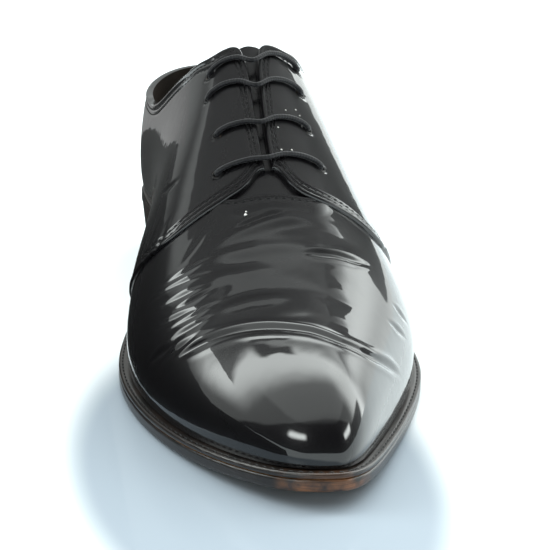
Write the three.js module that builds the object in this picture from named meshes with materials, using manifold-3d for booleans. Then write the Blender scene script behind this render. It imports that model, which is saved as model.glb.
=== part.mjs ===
// Left shoe of a plain-toe derby: open lacing with four pairs of eyelets, leather sole, low stacked heel.
// Millimetres, +Z up. The toe points along -Y and the outer side of the foot lies along +X.
// The origin is on the ground under the middle of the heel's curve, where the last's upright axis stands.
import * as THREE from 'three';
import { mergeVertices } from 'three/addons/utils/BufferGeometryUtils.js';
import Module from 'manifold-3d';

const wasm = await Module();
wasm.setup();

// Driving dimensions
const soleLength = 306;
const ballWidth = 103;
const heelWidth = 63;
const instepHeight = 90;
const heelHeight = 23;
const toeSpring = 6;
const outsoleThick = 4.3;
const weltThick = 1.9;
const insoleThick = 3.2;
const wall = 1.6;
const quarterThick = 1.0;
const tongueThick = 1.8;
const tongueWidth = 54;
const toeShelf = 3.5;
const waistShelf = 1.0;
const heelShelf = 2.0;
const heelCurve = 33;
const slotWidth = 3.6;
const slotMouth = 9;
const eyeletBore = 3.4;
const laceDiameter = 2.5;
const liftThick = 5.2;
const liftCount = 3;
const tongueLap = 5;
const tongueDrop = 2.5;
const heelInset = 0.4;
const heelTaper = 2.6;
const breastHollow = 2.5;
const gap = 0.3;

// Lengths that follow from them
const lastLength = soleLength - toeShelf - heelShelf;
const featherTip = soleLength - toeShelf;
const heelAxis = heelShelf + heelCurve;
const heelShare = 1 - heelCurve / lastLength;
const weltBase = outsoleThick + gap;
const footLine = weltBase + weltThick + gap;
const topPieceThick = heelHeight - liftCount * (liftThick + gap) - gap;

// Half sections of the last. at: share of the last's length from the toe. inner, outer, lean and the
// swells: shares of half the width named in of. crest: share of the instep height. belly and the
// crowns: how high the side stays full, and how wide the top stays.
const sectionColumns = ['at', 'of', 'inner', 'outer', 'crest', 'lean', 'innerSwell', 'outerSwell',
  'belly', 'innerCrown', 'outerCrown'];
const sectionRows = [
  [0.000, ballWidth, 0.000, 0.000, 0.000, 0.00, 0.00, 0.00, 0.52, 0.56, 0.56],
  [0.010, ballWidth, 0.243, 0.118, 0.131, -0.01, 0.03, 0.03, 0.53, 0.57, 0.57],
  [0.040, ballWidth, 0.436, 0.246, 0.254, -0.02, 0.05, 0.05, 0.54, 0.58, 0.58],
  [0.100, ballWidth, 0.676, 0.437, 0.371, -0.04, 0.06, 0.06, 0.55, 0.58, 0.57],
  [0.200, ballWidth, 0.930, 0.724, 0.505, -0.06, 0.07, 0.07, 0.53, 0.57, 0.54],
  [0.316, ballWidth, 1.050, 0.960, 0.702, -0.07, 0.09, 0.08, 0.48, 0.54, 0.48],
  [0.433, ballWidth, 0.978, 0.983, 0.950, -0.07, 0.11, 0.06, 0.41, 0.48, 0.42],
  [0.549, ballWidth, 0.772, 0.860, 1.108, -0.04, 0.14, 0.08, 0.35, 0.48, 0.48],
  [0.666, heelWidth, 1.025, 1.180, 1.149, -0.03, 0.26, 0.18, 0.31, 0.60, 0.62],
  [0.782, heelWidth, 0.980, 1.100, 1.121, -0.01, 0.22, 0.20, 0.29, 0.72, 0.74],
  [heelShare, heelWidth, 1.000, 1.000, 1.022, 0.00, 0.20, 0.20, 0.28, 0.78, 0.78],
];
const backCurve = { swell: 0.20, belly: 0.28, crown: 0.80 };

// Edge of the collar, from the heel's back to the top of the facings. at: share of the sole's length
// from the heel. inner and outer: height over the foot line as a share of the ridge's height there.
const collarRows = [
  { at: 0.000, inner: 0.578, outer: 0.578 },
  { at: 0.049, inner: 0.529, outer: 0.527 },
  { at: 0.098, inner: 0.489, outer: 0.484 },
  { at: 0.147, inner: 0.466, outer: 0.460 },
  { at: 0.196, inner: 0.456, outer: 0.451 },
  { at: 0.245, inner: 0.485, outer: 0.490 },
  { at: 0.294, inner: 0.561, outer: 0.580 },
  { at: 0.343, inner: 0.668, outer: 0.697 },
  { at: 0.386, inner: 0.779, outer: 0.813 },
  { at: 0.418, inner: 0.872, outer: 0.897 },
  { at: 0.441, inner: 0.942, outer: 0.957 },
  { at: 0.456, inner: 1.000, outer: 1.006 },
  { at: 0.461, inner: 1.060, outer: 1.066 },
];

// Front edge of the quarters. up: share of the way from the feather line to the ridge.
// inner and outer: share of the sole's length from the heel.
const quarterRows = [
  { up: 0.00, inner: 0.500, outer: 0.490 },
  { up: 0.20, inner: 0.575, outer: 0.565 },
  { up: 0.45, inner: 0.645, outer: 0.638 },
  { up: 0.65, inner: 0.662, outer: 0.657 },
  { up: 0.82, inner: 0.660, outer: 0.664 },
  { up: 0.92, inner: 0.648, outer: 0.651 },
  { up: 1.00, inner: 0.636, outer: 0.636 },
];

// Where the lace crosses the slot, as shares of the sole's length from the heel.
const laceRows = [0.487, 0.529, 0.578, 0.624];
const eyeletHeight = 0.74;
const eyeletSetBack = 0.016;
const slotEnd = 0.640;
const facingTop = 0.452;
const heelBreast = 0.196;

// Spans along the sole, as shares of its length from the heel: where the shank comes down to the
// tread, where the shelf narrows to the waist, where it widens to the toe, and where the toe lifts.
const shankSpan = [0.19, 0.615];
const waistSpan = [0.17, 0.31];
const jointSpan = [0.33, 0.56];
const treadEnd = 0.771;

// A cubic curve through rows of values, free at the first row and level at the last.
function makeSpline(xs, ys) {
  const n = xs.length;
  const diagonal = [1];
  const upper = [0];
  const bend = [0];
  for (let i = 1; i < n; i++) {
    const before = xs[i] - xs[i - 1];
    const rise = (ys[i] - ys[i - 1]) / before;
    const isLast = i === n - 1;
    const after = isLast ? 0 : xs[i + 1] - xs[i];
    const nextRise = isLast ? 0 : (ys[i + 1] - ys[i]) / after;
    const factor = before / diagonal[i - 1];
    diagonal.push(2 * (before + after) - factor * upper[i - 1]);
    upper.push(after);
    bend.push(6 * (nextRise - rise) - factor * bend[i - 1]);
  }
  for (let i = n - 1; i >= 0; i--) {
    const next = i === n - 1 ? 0 : bend[i + 1];
    bend[i] = (bend[i] - upper[i] * next) / diagonal[i];
  }
  return (x) => {
    let i = 0;
    while (i < n - 2 && x > xs[i + 1]) i++;
    const step = xs[i + 1] - xs[i];
    const left = xs[i + 1] - x;
    const right = x - xs[i];
    const curved = (bend[i] * left ** 3 + bend[i + 1] * right ** 3) / (6 * step);
    const start = (ys[i] / step - bend[i] * step / 6) * left;
    const end = (ys[i + 1] / step - bend[i + 1] * step / 6) * right;
    return curved + start + end;
  };
}

// The root of the distance from the toe spreads the blunt toe's sections evenly.
const roots = sectionRows.map((row) => Math.sqrt(row[0]));
const section = {};
for (const [index, name] of sectionColumns.entries()) {
  if (index < 2) continue;
  const isHeight = name === 'crest';
  const isShape = name === 'belly' || name.endsWith('Crown');
  section[name] = makeSpline(roots, sectionRows.map((row) => {
    if (isHeight) return row[index] * instepHeight;
    return isShape ? row[index] : row[index] * row[1] / 2;
  }));
}

const clamp = THREE.MathUtils.clamp;
const smooth = THREE.MathUtils.smoothstep;

function bezier(a, b, c, d, t) {
  const r = 1 - t;
  return a * r ** 3 + 3 * b * r * r * t + 3 * c * r * t * t + d * t ** 3;
}

// Height of the outsole's underside: level under the heel seat, down through the shank, level tread,
// then the toe spring. s runs from the heel's back.
function bottomAt(s) {
  const share = s / soleLength;
  const shank = heelHeight * (1 - smooth(share, ...shankSpan));
  const rise = Math.max(0, (share - treadEnd) / (1 - treadEnd));
  return shank + toeSpring * rise * rise;
}

// u: 0 at the toe tip, 1 at the heel's upright axis, 2 at the heel's back. s to u, ahead of the axis.
function toU(s) {
  return Math.sqrt(clamp((featherTip - s) / lastLength / heelShare, 0, 1));
}

// A point of the last. side: -1 inner, 1 outer. v: 0 at the feather line, 1 at the ridge.
// Each half section is a cubic curve that leaves the feather line outwards and meets the ridge level.
// Behind the axis the sections turn about it, from the side's profile to the back's.
function lastPoint(sideIn, uIn, v) {
  let side = sideIn;
  let u = uIn;
  if (u < 0) {
    side = -side;
    u = -u;
  }
  if (u > 2) {
    side = -side;
    u = 4 - u;
  }
  const root = Math.sqrt(heelShare) * Math.min(u, 1);
  const name = side < 0 ? 'inner' : 'outer';
  const width = section[name](root);
  const crest = section.crest(root);
  const lean = side * section.lean(root);
  const crown = section[name + 'Crown'](root);
  const swell = section[name + 'Swell'](root);
  const x = bezier(width, width + swell, crown * width + (1 - crown) * lean, lean, v);
  const z = bezier(0, section.belly(root) * crest, crest, crest, v);
  if (u <= 1) {
    const s = featherTip - root * root * lastLength;
    return new THREE.Vector3(side * x, heelAxis - s, bottomAt(s) + footLine + z);
  }
  const turn = (u - 1) * Math.PI / 2;
  const back = backCurve.swell * heelWidth / 2;
  const xBack = bezier(heelCurve, heelCurve + back, backCurve.crown * heelCurve, 0, v);
  const zBack = bezier(0, backCurve.belly * crest, crest, crest, v);
  const toBack = Math.sin(turn) ** 2;
  const across = u === 2 ? 0 : side * x * Math.cos(turn);
  const height = heelHeight + footLine + z * (1 - toBack) + zBack * toBack;
  return new THREE.Vector3(across, xBack * Math.sin(turn), height);
}

// A point moved out from the last, square to its surface. On the feather line it moves level.
function skin(side, u, v, out) {
  const step = 1e-3;
  const point = lastPoint(side, u, v);
  const along = lastPoint(side, u + step, v).sub(lastPoint(side, u - step, v));
  const up = v < 1
    ? lastPoint(side, u, v + step).sub(lastPoint(side, u, Math.max(v - step, 0)))
    : lastPoint(-side, u, 1 - step).sub(lastPoint(side, u, 1 - step));
  const normal = new THREE.Vector3().crossVectors(up, along).multiplyScalar(-side);
  if (normal.length() < 1e-9) normal.set(0, 0, 1);
  if (v === 0) normal.z = 0;
  if (u === 2 || u === 0) normal.x = 0;
  if (u === 0) normal.set(0, -1, 0);
  return point.addScaledVector(normal.normalize(), out);
}

// A point of a level outline: the feather line moved out, at a height over the sole's underside.
function rim(side, u, out, height) {
  const point = skin(side, u, 0, out);
  point.z = bottomAt(clamp(heelAxis - point.y, 0, soleLength)) + height;
  return point;
}

function shelfAt(side, u) {
  const share = (heelAxis - lastPoint(side, u, 0).y) / soleLength;
  const toWaist = smooth(share, ...waistSpan);
  const toToe = smooth(share, ...jointSpan);
  return heelShelf + (waistShelf - heelShelf) * toWaist + (toeShelf - waistShelf) * toToe;
}

// Steps of u, closer together at the blunt toe.
function stations(from, to, count) {
  const spread = 0.85;
  const list = [];
  for (let i = 0; i <= count; i++) {
    const t = (from ** (1 / spread)) * (1 - i / count) + (to ** (1 / spread)) * (i / count);
    list.push(t ** spread);
  }
  list[0] = from;
  list[count] = to;
  return list;
}

function evenSteps(from, to, count) {
  return Array.from({ length: count + 1 }, (_, i) => from + (to - from) * i / count);
}

const lengthwise = [...stations(0, 1, 24), ...evenSteps(1, 2, 8).slice(1)];

// Triangles are gathered here as loose corners. A face is skipped where it has no area.
class Faces {
  constructor() {
    this.corners = [];
  }

  triangle(a, b, c) {
    for (const p of [a, b, c]) this.corners.push(p.x, p.y, p.z);
  }

  quad(a, b, c, d) {
    this.triangle(a, b, c);
    this.triangle(a, c, d);
  }

  // Quads between two rows of points that run side by side.
  strip(row, next, isRing = false) {
    const n = row.length;
    for (let i = 0; i < (isRing ? n : n - 1); i++) {
      const j = (i + 1) % n;
      this.quad(row[i], row[j], next[j], next[i]);
    }
  }

  fan(hub, ring, isRing = true) {
    const n = ring.length;
    for (let i = 0; i < (isRing ? n : n - 1); i++) this.triangle(hub, ring[i], ring[(i + 1) % n]);
  }

  geometry() {
    const loose = new THREE.BufferGeometry();
    loose.setAttribute('position', new THREE.Float32BufferAttribute(this.corners, 3));
    const merged = mergeVertices(loose, 1e-4);
    const kept = [];
    const index = merged.index.array;
    for (let i = 0; i < index.length; i += 3) {
      const [a, b, c] = [index[i], index[i + 1], index[i + 2]];
      if (a !== b && b !== c && c !== a) kept.push(a, b, c);
    }
    merged.setIndex(kept);
    return facingOut(merged);
  }
}

function volumeOf(geometry) {
  const position = geometry.getAttribute('position');
  const index = geometry.index.array;
  const [a, b, c] = [new THREE.Vector3(), new THREE.Vector3(), new THREE.Vector3()];
  let volume = 0;
  for (let i = 0; i < index.length; i += 3) {
    a.fromBufferAttribute(position, index[i]);
    b.fromBufferAttribute(position, index[i + 1]);
    c.fromBufferAttribute(position, index[i + 2]);
    volume += a.dot(b.cross(c)) / 6;
  }
  return volume;
}

function facingOut(geometry) {
  if (volumeOf(geometry) > 0) return geometry;
  const index = Array.from(geometry.index.array);
  for (let i = 0; i < index.length; i += 3) [index[i], index[i + 1]] = [index[i + 1], index[i]];
  geometry.setIndex(index);
  return geometry;
}

function toSolid(geometry) {
  const bare = new THREE.BufferGeometry();
  bare.setAttribute('position', geometry.getAttribute('position'));
  if (geometry.index) bare.setIndex(geometry.index);
  const merged = mergeVertices(bare, 1e-4);
  return new wasm.Manifold(new wasm.Mesh({
    numProp: 3,
    vertProperties: new Float32Array(merged.getAttribute('position').array),
    triVerts: new Uint32Array(merged.index.array),
  }));
}

function toGeometry(solid) {
  const mesh = solid.getMesh();
  const geometry = new THREE.BufferGeometry();
  geometry.setAttribute('position', new THREE.BufferAttribute(new Float32Array(mesh.vertProperties), 3));
  geometry.setIndex(Array.from(mesh.triVerts));
  return geometry;
}

// Body of the last moved out or in. The columns run from inner feather line over the ridge to the
// outer one. depth lowers a skirt under the feather line, which opens what the body is cut from.
function lastBody(out, us, depth) {
  const faces = new Faces();
  const ups = evenSteps(0, 1, 12);
  const column = (u) => {
    const inner = ups.map((v) => skin(-1, u, v, out));
    const outer = ups.map((v) => skin(1, u, v, out)).reverse();
    const points = [...inner, ...outer.slice(1)];
    if (depth === 0) return points;
    const low = (p) => new THREE.Vector3(p.x, p.y, p.z - depth);
    return [low(points[0]), ...points, low(points[points.length - 1])];
  };
  const columns = us.map(column);
  for (let i = 0; i + 1 < columns.length; i++) faces.strip(columns[i], columns[i + 1], true);
  if (us[0] > 0) {
    const tip = lastPoint(1, 0, 0);
    faces.fan(new THREE.Vector3(tip.x, tip.y - out, tip.z + gap), [...columns[0]].reverse());
  }
  return toSolid(faces.geometry());
}

// Value of a table's column between its rows, with rounded steps from row to row.
function readRows(rows, key, name) {
  const curve = makeSpline(rows.map((row) => row[key]), rows.map((row) => row[name]));
  return (x) => curve(clamp(x, rows[0][key], rows[rows.length - 1][key]));
}

// The quarters go round the heel in one piece and lie over the vamp, so their front edge is a step.
function quarterBody() {
  const faces = new Faces();
  const edge = { '-1': readRows(quarterRows, 'up', 'inner'), 1: readRows(quarterRows, 'up', 'outer') };
  const nearRidge = 0.985;
  const ups = evenSteps(0, nearRidge, 10);
  const half = evenSteps(0, 1, 16);
  const grid = (out) => {
    const column = (side, t) => ups.map((v) => {
      const front = toU(edge[side](v) * soleLength);
      return skin(side, t === 1 ? 2 : front + (2 - front) * t, v, out);
    });
    return [...half.map((t) => column(-1, t)), ...half.map((t) => column(1, t)).reverse().slice(1)];
  };
  const outside = grid(quarterThick);
  const inside = grid(-wall - gap);
  const last = outside.length - 1;
  for (let i = 0; i < last; i++) {
    faces.strip(outside[i], outside[i + 1]);
    faces.strip(inside[i + 1], inside[i]);
  }
  faces.strip(inside[0], outside[0]);
  faces.strip(outside[last], inside[last]);
  const rowOf = (columns, j) => columns.map((column) => column[j]);
  faces.strip(rowOf(outside, 0), rowOf(inside, 0));
  faces.strip(rowOf(inside, ups.length - 1), rowOf(outside, ups.length - 1));
  return toSolid(faces.geometry());
}

// Everything over one side's collar edge, as a profile in the shoe's length and height that is
// extruded from the ridge outwards.
function collarCut(side) {
  const name = side < 0 ? 'inner' : 'outer';
  const edge = collarRows.map((row) => {
    const s = row.at * soleLength;
    const crest = section.crest(Math.sqrt(Math.min((featherTip - s) / lastLength, heelShare)));
    return new THREE.Vector2(s, bottomAt(s) + footLine + row[name] * crest);
  });
  const ceiling = 2 * instepHeight;
  const curve = new THREE.SplineCurve(edge).getPoints(48);
  const front = curve[curve.length - 1];
  const back = -heelCurve;
  const shape = new THREE.Shape([new THREE.Vector2(back, curve[0].y), ...curve,
    new THREE.Vector2(front.x, ceiling), new THREE.Vector2(back, ceiling)]);
  const reach = ballWidth;
  const ridge = lastPoint(1, toU(front.x), 1).x;
  const prism = new THREE.ExtrudeGeometry(shape, { depth: reach, bevelEnabled: false });
  const turned = new THREE.Matrix4().makeBasis(
    new THREE.Vector3(0, -1, 0), new THREE.Vector3(0, 0, 1), new THREE.Vector3(-1, 0, 0));
  prism.applyMatrix4(turned);
  prism.translate(ridge + (side > 0 ? reach : 0), heelAxis, 0);
  return toSolid(prism);
}

// The lacing slot between the facings: narrow along the laces, wider at its mouth.
function slotCut() {
  const shape = new THREE.Shape();
  const ridge = (share) => lastPoint(1, toU(share * soleLength), 1);
  const mouth = laceRows[0];
  const shares = [...evenSteps(slotEnd, mouth, 4), facingTop, facingTop - 0.05];
  const halfAt = (share) => {
    const opened = Math.max(0, (mouth - share) / (mouth - facingTop));
    return (slotWidth + (slotMouth - slotWidth) * opened) / 2;
  };
  const side = (sign) => shares.map((share) => new THREE.Vector2(
    ridge(share).x + sign * halfAt(share), ridge(share).y));
  const outline = [...side(-1), ...side(1).reverse()];
  shape.setFromPoints(outline);
  const prism = new THREE.ExtrudeGeometry(shape, { depth: 2 * instepHeight, bevelEnabled: false });
  prism.translate(0, 0, footLine + instepHeight / 2);
  return toSolid(prism);
}

function eyeletPlace(side, share) {
  const u = toU((share - eyeletSetBack) * soleLength);
  const inside = skin(side, u, eyeletHeight, -2 * wall);
  const outside = skin(side, u, eyeletHeight, 2 * wall + quarterThick);
  return { inside, outside };
}

function eyeletCut(side, share) {
  const { inside, outside } = eyeletPlace(side, share);
  const axis = outside.clone().sub(inside);
  const bore = new THREE.CylinderGeometry(eyeletBore / 2, eyeletBore / 2, axis.length(), 12);
  bore.applyQuaternion(new THREE.Quaternion().setFromUnitVectors(
    new THREE.Vector3(0, 1, 0), axis.clone().normalize()));
  const middle = inside.clone().add(outside).multiplyScalar(0.5);
  bore.translate(middle.x, middle.y, middle.z);
  return toSolid(bore);
}

// All that lies under the foot line, with the sole's own facets, so that the quarters clear the welt.
function underFoot() {
  const out = () => toeShelf;
  return toSolid(layerGeometry([{ out, height: -instepHeight }, { out, height: footLine }]));
}

function upperGeometry() {
  const hollow = lengthwise.filter((u) => u > 0.05);
  let solid = lastBody(0, lengthwise, 0).add(quarterBody().subtract(underFoot()));
  solid = solid.subtract(lastBody(-wall, hollow, 2 * footLine));
  solid = solid.subtract(collarCut(-1)).subtract(collarCut(1)).subtract(slotCut());
  for (const share of laceRows) {
    for (const side of [-1, 1]) solid = solid.subtract(eyeletCut(side, share));
  }
  return toGeometry(solid);
}

// The tongue lies under the facings, a gap inside the upper's wall.
function tongueGeometry() {
  const faces = new Faces();
  const across = evenSteps(-1, 1, 12);
  const reach = (side, u, share) => {
    let low = 0.3;
    let high = 1;
    for (let i = 0; i < 24; i++) {
      const v = (low + high) / 2;
      const point = lastPoint(side, u, v);
      const half = share * tongueWidth / 2;
      if (Math.abs(point.x - lastPoint(side, u, 1).x) > half) low = v;
      else high = v;
    }
    return high;
  };
  const row = (u, out) => across.map((t) => {
    const side = t < 0 ? -1 : 1;
    return skin(side, u, t === 0 ? 1 : reach(side, u, Math.abs(t)), out);
  });
  const from = toU(slotEnd * soleLength + tongueLap);
  const to = toU(facingTop * soleLength - tongueDrop);
  const us = [from, ...lengthwise.filter((u) => u > from && u < to), to];
  const top = us.map((u) => row(u, -wall - 2 * gap));
  const under = us.map((u) => row(u, -wall - 2 * gap - tongueThick));
  for (let i = 0; i + 1 < us.length; i++) {
    faces.strip(top[i], top[i + 1]);
    faces.strip(under[i + 1], under[i]);
  }
  const rowOf = (rows, j) => rows.map((points) => points[j]);
  faces.strip(under[0], top[0]);
  faces.strip(top[us.length - 1], under[us.length - 1]);
  faces.strip(rowOf(top, 0), rowOf(under, 0));
  faces.strip(rowOf(under, across.length - 1), rowOf(top, across.length - 1));
  return faces.geometry();
}

// A flat layer of the sole: rings of one outline at several heights, closed across from side to side.
function layerGeometry(steps) {
  const faces = new Faces();
  const ring = ({ out, height }) => {
    const side = (sign) => lengthwise.map((u) => rim(sign, u, out(sign, u), height));
    return [...side(-1), ...side(1).reverse().slice(1, -1)];
  };
  const rings = steps.map(ring);
  for (let i = 0; i + 1 < rings.length; i++) faces.strip(rings[i], rings[i + 1], true);
  const close = (points) => {
    const n = points.length;
    for (let i = 0; i < n / 2; i++) {
      faces.quad(points[i], points[i + 1], points[(n - i - 1) % n], points[(n - i) % n]);
    }
  };
  close([rings[0][0], ...rings[0].slice(1).reverse()]);
  close(rings[rings.length - 1]);
  return faces.geometry();
}

function outsoleGeometry() {
  const bevel = 0.8;
  const trim = (inset) => (side, u) => shelfAt(side, u) - inset;
  return layerGeometry([
    { out: trim(bevel), height: 0 },
    { out: trim(0), height: bevel },
    { out: trim(0), height: outsoleThick },
  ]);
}

function insoleGeometry() {
  const inset = () => -wall - 2 * gap;
  return layerGeometry([
    { out: inset, height: weltBase },
    { out: inset, height: weltBase + insoleThick },
  ]);
}

// A strip round the feather line, which the upper's wall stands on. path: pairs of side and u.
function weltGeometry(path) {
  const faces = new Faces();
  const round = 0.4;
  const profile = ([side, u]) => {
    const out = shelfAt(side, u);
    return [
      rim(side, u, out, weltBase),
      rim(side, u, out, weltBase + weltThick - round),
      rim(side, u, out - round, weltBase + weltThick),
      rim(side, u, -wall, weltBase + weltThick),
      rim(side, u, -wall, weltBase),
    ];
  };
  const profiles = path.map(profile);
  for (let i = 0; i + 1 < profiles.length; i++) faces.strip(profiles[i], profiles[i + 1], true);
  const first = profiles[0];
  const last = profiles[profiles.length - 1];
  for (let i = 1; i < first.length - 1; i++) {
    faces.triangle(first[0], first[i + 1], first[i]);
    faces.triangle(last[0], last[i], last[i + 1]);
  }
  return faces.geometry();
}

const breastU = toU(heelBreast * soleLength);
const sideways = (sign, us) => us.map((u) => [sign, u]);

function frontWelt() {
  const us = [...lengthwise.filter((u) => u < breastU), breastU];
  return weltGeometry([...sideways(-1, [...us].reverse()), ...sideways(1, us.slice(1))]);
}

function heelRand() {
  const start = toU(heelBreast * soleLength - gap);
  const us = [start, ...lengthwise.filter((u) => u > start)];
  return weltGeometry([...sideways(-1, us), ...sideways(1, [...us].reverse().slice(1))]);
}

// One layer of the stacked heel, between two heights over the ground. The heel narrows downwards,
// and its breast is slightly hollow.
function heelLayerGeometry(low, high) {
  const faces = new Faces();
  const us = [...evenSteps(breastU, 1, 2), ...evenSteps(1, 2, 8).slice(1)];
  const taper = (height) => heelInset + heelTaper * (1 - height / heelHeight);
  const ring = (height) => {
    const point = (side, u) => {
      const at = rim(side, u, shelfAt(side, u) - taper(height), 0);
      at.z = height;
      return at;
    };
    const back = [...us.map((u) => point(-1, u)), ...[...us].reverse().slice(1).map((u) => point(1, u))];
    const from = back[back.length - 1];
    const to = back[0];
    const breast = evenSteps(0, 1, 6).slice(1, -1).map((t) => {
      const at = from.clone().lerp(to, t);
      at.y += breastHollow * 4 * t * (1 - t);
      return at;
    });
    return [...back, ...breast];
  };
  const bottom = ring(low);
  const top = ring(high);
  faces.strip(bottom, top, true);
  faces.fan(new THREE.Vector3(0, 0, low), [...bottom].reverse());
  faces.fan(new THREE.Vector3(0, 0, high), top);
  return faces.geometry();
}

// A bar of the lace lies on both facings and crosses the slot between two eyelets.
function laceBarGeometry(share) {
  const lift = quarterThick + gap + laceDiameter / 2;
  const points = evenSteps(-1, 1, 12).map((t) => {
    const side = t < 0 ? -1 : 1;
    const u = toU((share - eyeletSetBack * t * t) * soleLength);
    return skin(side, u, 1 - Math.abs(t) * (1 - eyeletHeight), lift);
  });
  const circle = new THREE.Shape();
  circle.absarc(0, 0, laceDiameter / 2, 0, 2 * Math.PI);
  const tube = new THREE.ExtrudeGeometry(circle, {
    curveSegments: 8,
    steps: 14,
    bevelEnabled: false,
    extrudePath: new THREE.CatmullRomCurve3(points),
  });
  tube.deleteAttribute('normal');
  tube.deleteAttribute('uv');
  return facingOut(mergeVertices(tube, 1e-4));
}

function finish(color, roughness) {
  return new THREE.MeshStandardMaterial({ color, roughness, metalness: 0 });
}

const patentLeather = finish('#0b0b0c', 0.06);
const liningLeather = finish('#1b1917', 0.6);
const edgeInk = finish('#17120f', 0.4);
const soleLeather = finish('#241a15', 0.5);
const insoleLeather = finish('#2a2420', 0.65);
const heelRubber = finish('#121110', 0.7);
const waxedCotton = finish('#1a1a1c', 0.75);

const shoe = new THREE.Group();

function addPart(name, geometry, material) {
  const mesh = new THREE.Mesh(geometry, material);
  mesh.name = name;
  shoe.add(mesh);
}

addPart('outsole', outsoleGeometry(), soleLeather);
addPart('welt', frontWelt(), edgeInk);
addPart('heel_rand', heelRand(), edgeInk);
addPart('insole', insoleGeometry(), insoleLeather);
addPart('upper', upperGeometry(), patentLeather);
addPart('tongue', tongueGeometry(), liningLeather);
addPart('heel_top_piece', heelLayerGeometry(0, topPieceThick), heelRubber);
for (let i = 0; i < liftCount; i++) {
  const low = topPieceThick + gap + i * (liftThick + gap);
  addPart(`heel_lift_${i + 1}`, heelLayerGeometry(low, low + liftThick), edgeInk);
}
for (const [index, share] of laceRows.entries()) {
  addPart(`lace_bar_${index + 1}`, laceBarGeometry(share), waxedCotton);
}

export default shoe;
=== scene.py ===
import math
import bmesh
import bpy
import numpy as np
from mathutils import Matrix, Vector


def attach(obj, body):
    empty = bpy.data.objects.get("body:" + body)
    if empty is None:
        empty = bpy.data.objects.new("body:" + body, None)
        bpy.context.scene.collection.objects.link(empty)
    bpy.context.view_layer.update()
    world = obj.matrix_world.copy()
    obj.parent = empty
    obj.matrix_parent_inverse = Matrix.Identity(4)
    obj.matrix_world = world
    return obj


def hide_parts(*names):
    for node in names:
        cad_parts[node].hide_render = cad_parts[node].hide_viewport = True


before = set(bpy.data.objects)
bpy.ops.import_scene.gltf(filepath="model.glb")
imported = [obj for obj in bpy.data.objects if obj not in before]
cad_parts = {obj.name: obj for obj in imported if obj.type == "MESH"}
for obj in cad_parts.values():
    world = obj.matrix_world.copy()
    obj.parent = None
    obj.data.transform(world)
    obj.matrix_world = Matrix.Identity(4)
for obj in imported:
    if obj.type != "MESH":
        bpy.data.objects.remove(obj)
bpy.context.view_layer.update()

# Left derby shoe. Shapes are worked out in millimetres; toMetres turns them into Blender's metres.
# Y falls towards the toe, X grows towards the foot's outer side, and the floor is at height 0.
toMetres = 0.001

last = {
    "soleLength": 306.0, "ballWidth": 103.0, "heelWidth": 63.0, "instepHeight": 90.0,
    "heelHeight": 23.0, "toeSpring": 6.0, "toeShelf": 3.5, "waistShelf": 1.0, "heelShelf": 2.0,
    "heelCurve": 33.0, "outsole": 4.3, "welt": 1.9, "gap": 0.3,
    "shankSpan": (0.19, 0.615), "waistSpan": (0.17, 0.31), "jointSpan": (0.33, 0.56), "treadEnd": 0.771,
    "backSwell": 0.20, "backBelly": 0.28, "backCrown": 0.80,
}
last["length"] = last["soleLength"] - last["toeShelf"] - last["heelShelf"]
last["featherTip"] = last["soleLength"] - last["toeShelf"]
last["heelAxis"] = last["heelShelf"] + last["heelCurve"]
last["heelShare"] = 1 - last["heelCurve"] / last["length"]
last["heelArc"] = last["heelCurve"] * math.pi / 2
last["weltBase"] = last["outsole"] + last["gap"]
last["footLine"] = last["weltBase"] + last["welt"] + last["gap"]

# Half sections of the last. Widths, lean and swells are shares of half the width, crest of the instep.
sectionColumns = ("at", "inner", "outer", "crest", "lean", "innerSwell", "outerSwell",
                  "belly", "innerCrown", "outerCrown")
ballSections = [
    (0.000, 0.000, 0.000, 0.000, 0.00, 0.00, 0.00, 0.52, 0.56, 0.56),
    (0.010, 0.243, 0.118, 0.131, -0.01, 0.03, 0.03, 0.53, 0.57, 0.57),
    (0.040, 0.436, 0.246, 0.254, -0.02, 0.05, 0.05, 0.54, 0.58, 0.58),
    (0.100, 0.676, 0.437, 0.371, -0.04, 0.06, 0.06, 0.55, 0.58, 0.57),
    (0.200, 0.930, 0.724, 0.505, -0.06, 0.07, 0.07, 0.53, 0.57, 0.54),
    (0.316, 1.050, 0.960, 0.702, -0.07, 0.09, 0.08, 0.48, 0.54, 0.48),
    (0.433, 0.978, 0.983, 0.950, -0.07, 0.11, 0.06, 0.41, 0.48, 0.42),
    (0.549, 0.772, 0.860, 1.108, -0.04, 0.14, 0.08, 0.35, 0.48, 0.48),
]
heelSections = [
    (0.666, 1.025, 1.180, 1.149, -0.03, 0.26, 0.18, 0.31, 0.60, 0.62),
    (0.782, 0.980, 1.100, 1.121, -0.01, 0.22, 0.20, 0.29, 0.72, 0.74),
    (last["heelShare"], 1.000, 1.000, 1.022, 0.00, 0.20, 0.20, 0.28, 0.78, 0.78),
]


def cubicThrough(xs, ys):
    # A cubic curve through the rows that is free at the first row and level at the last.
    xs, ys = np.asarray(xs, float), np.asarray(ys, float)
    n, h = len(xs), np.diff(xs)
    matrix, right = np.zeros((n, n)), np.zeros(n)
    matrix[0, 0] = 1
    for i in range(1, n - 1):
        matrix[i, i - 1:i + 2] = h[i - 1], 2 * (h[i - 1] + h[i]), h[i]
        right[i] = 6 * ((ys[i + 1] - ys[i]) / h[i] - (ys[i] - ys[i - 1]) / h[i - 1])
    matrix[-1, -2:] = h[-1], 2 * h[-1]
    right[-1] = -6 * (ys[-1] - ys[-2]) / h[-1]
    bend = np.linalg.solve(matrix, right)

    def at(x):
        x = np.asarray(x, float)
        i = np.clip(np.searchsorted(xs, x) - 1, 0, n - 2)
        low, high, step = xs[i + 1] - x, x - xs[i], h[i]
        curved = (bend[i] * low ** 3 + bend[i + 1] * high ** 3) / (6 * step)
        return (curved + (ys[i] / step - bend[i] * step / 6) * low
                + (ys[i + 1] / step - bend[i + 1] * step / 6) * high)
    return at


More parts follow.
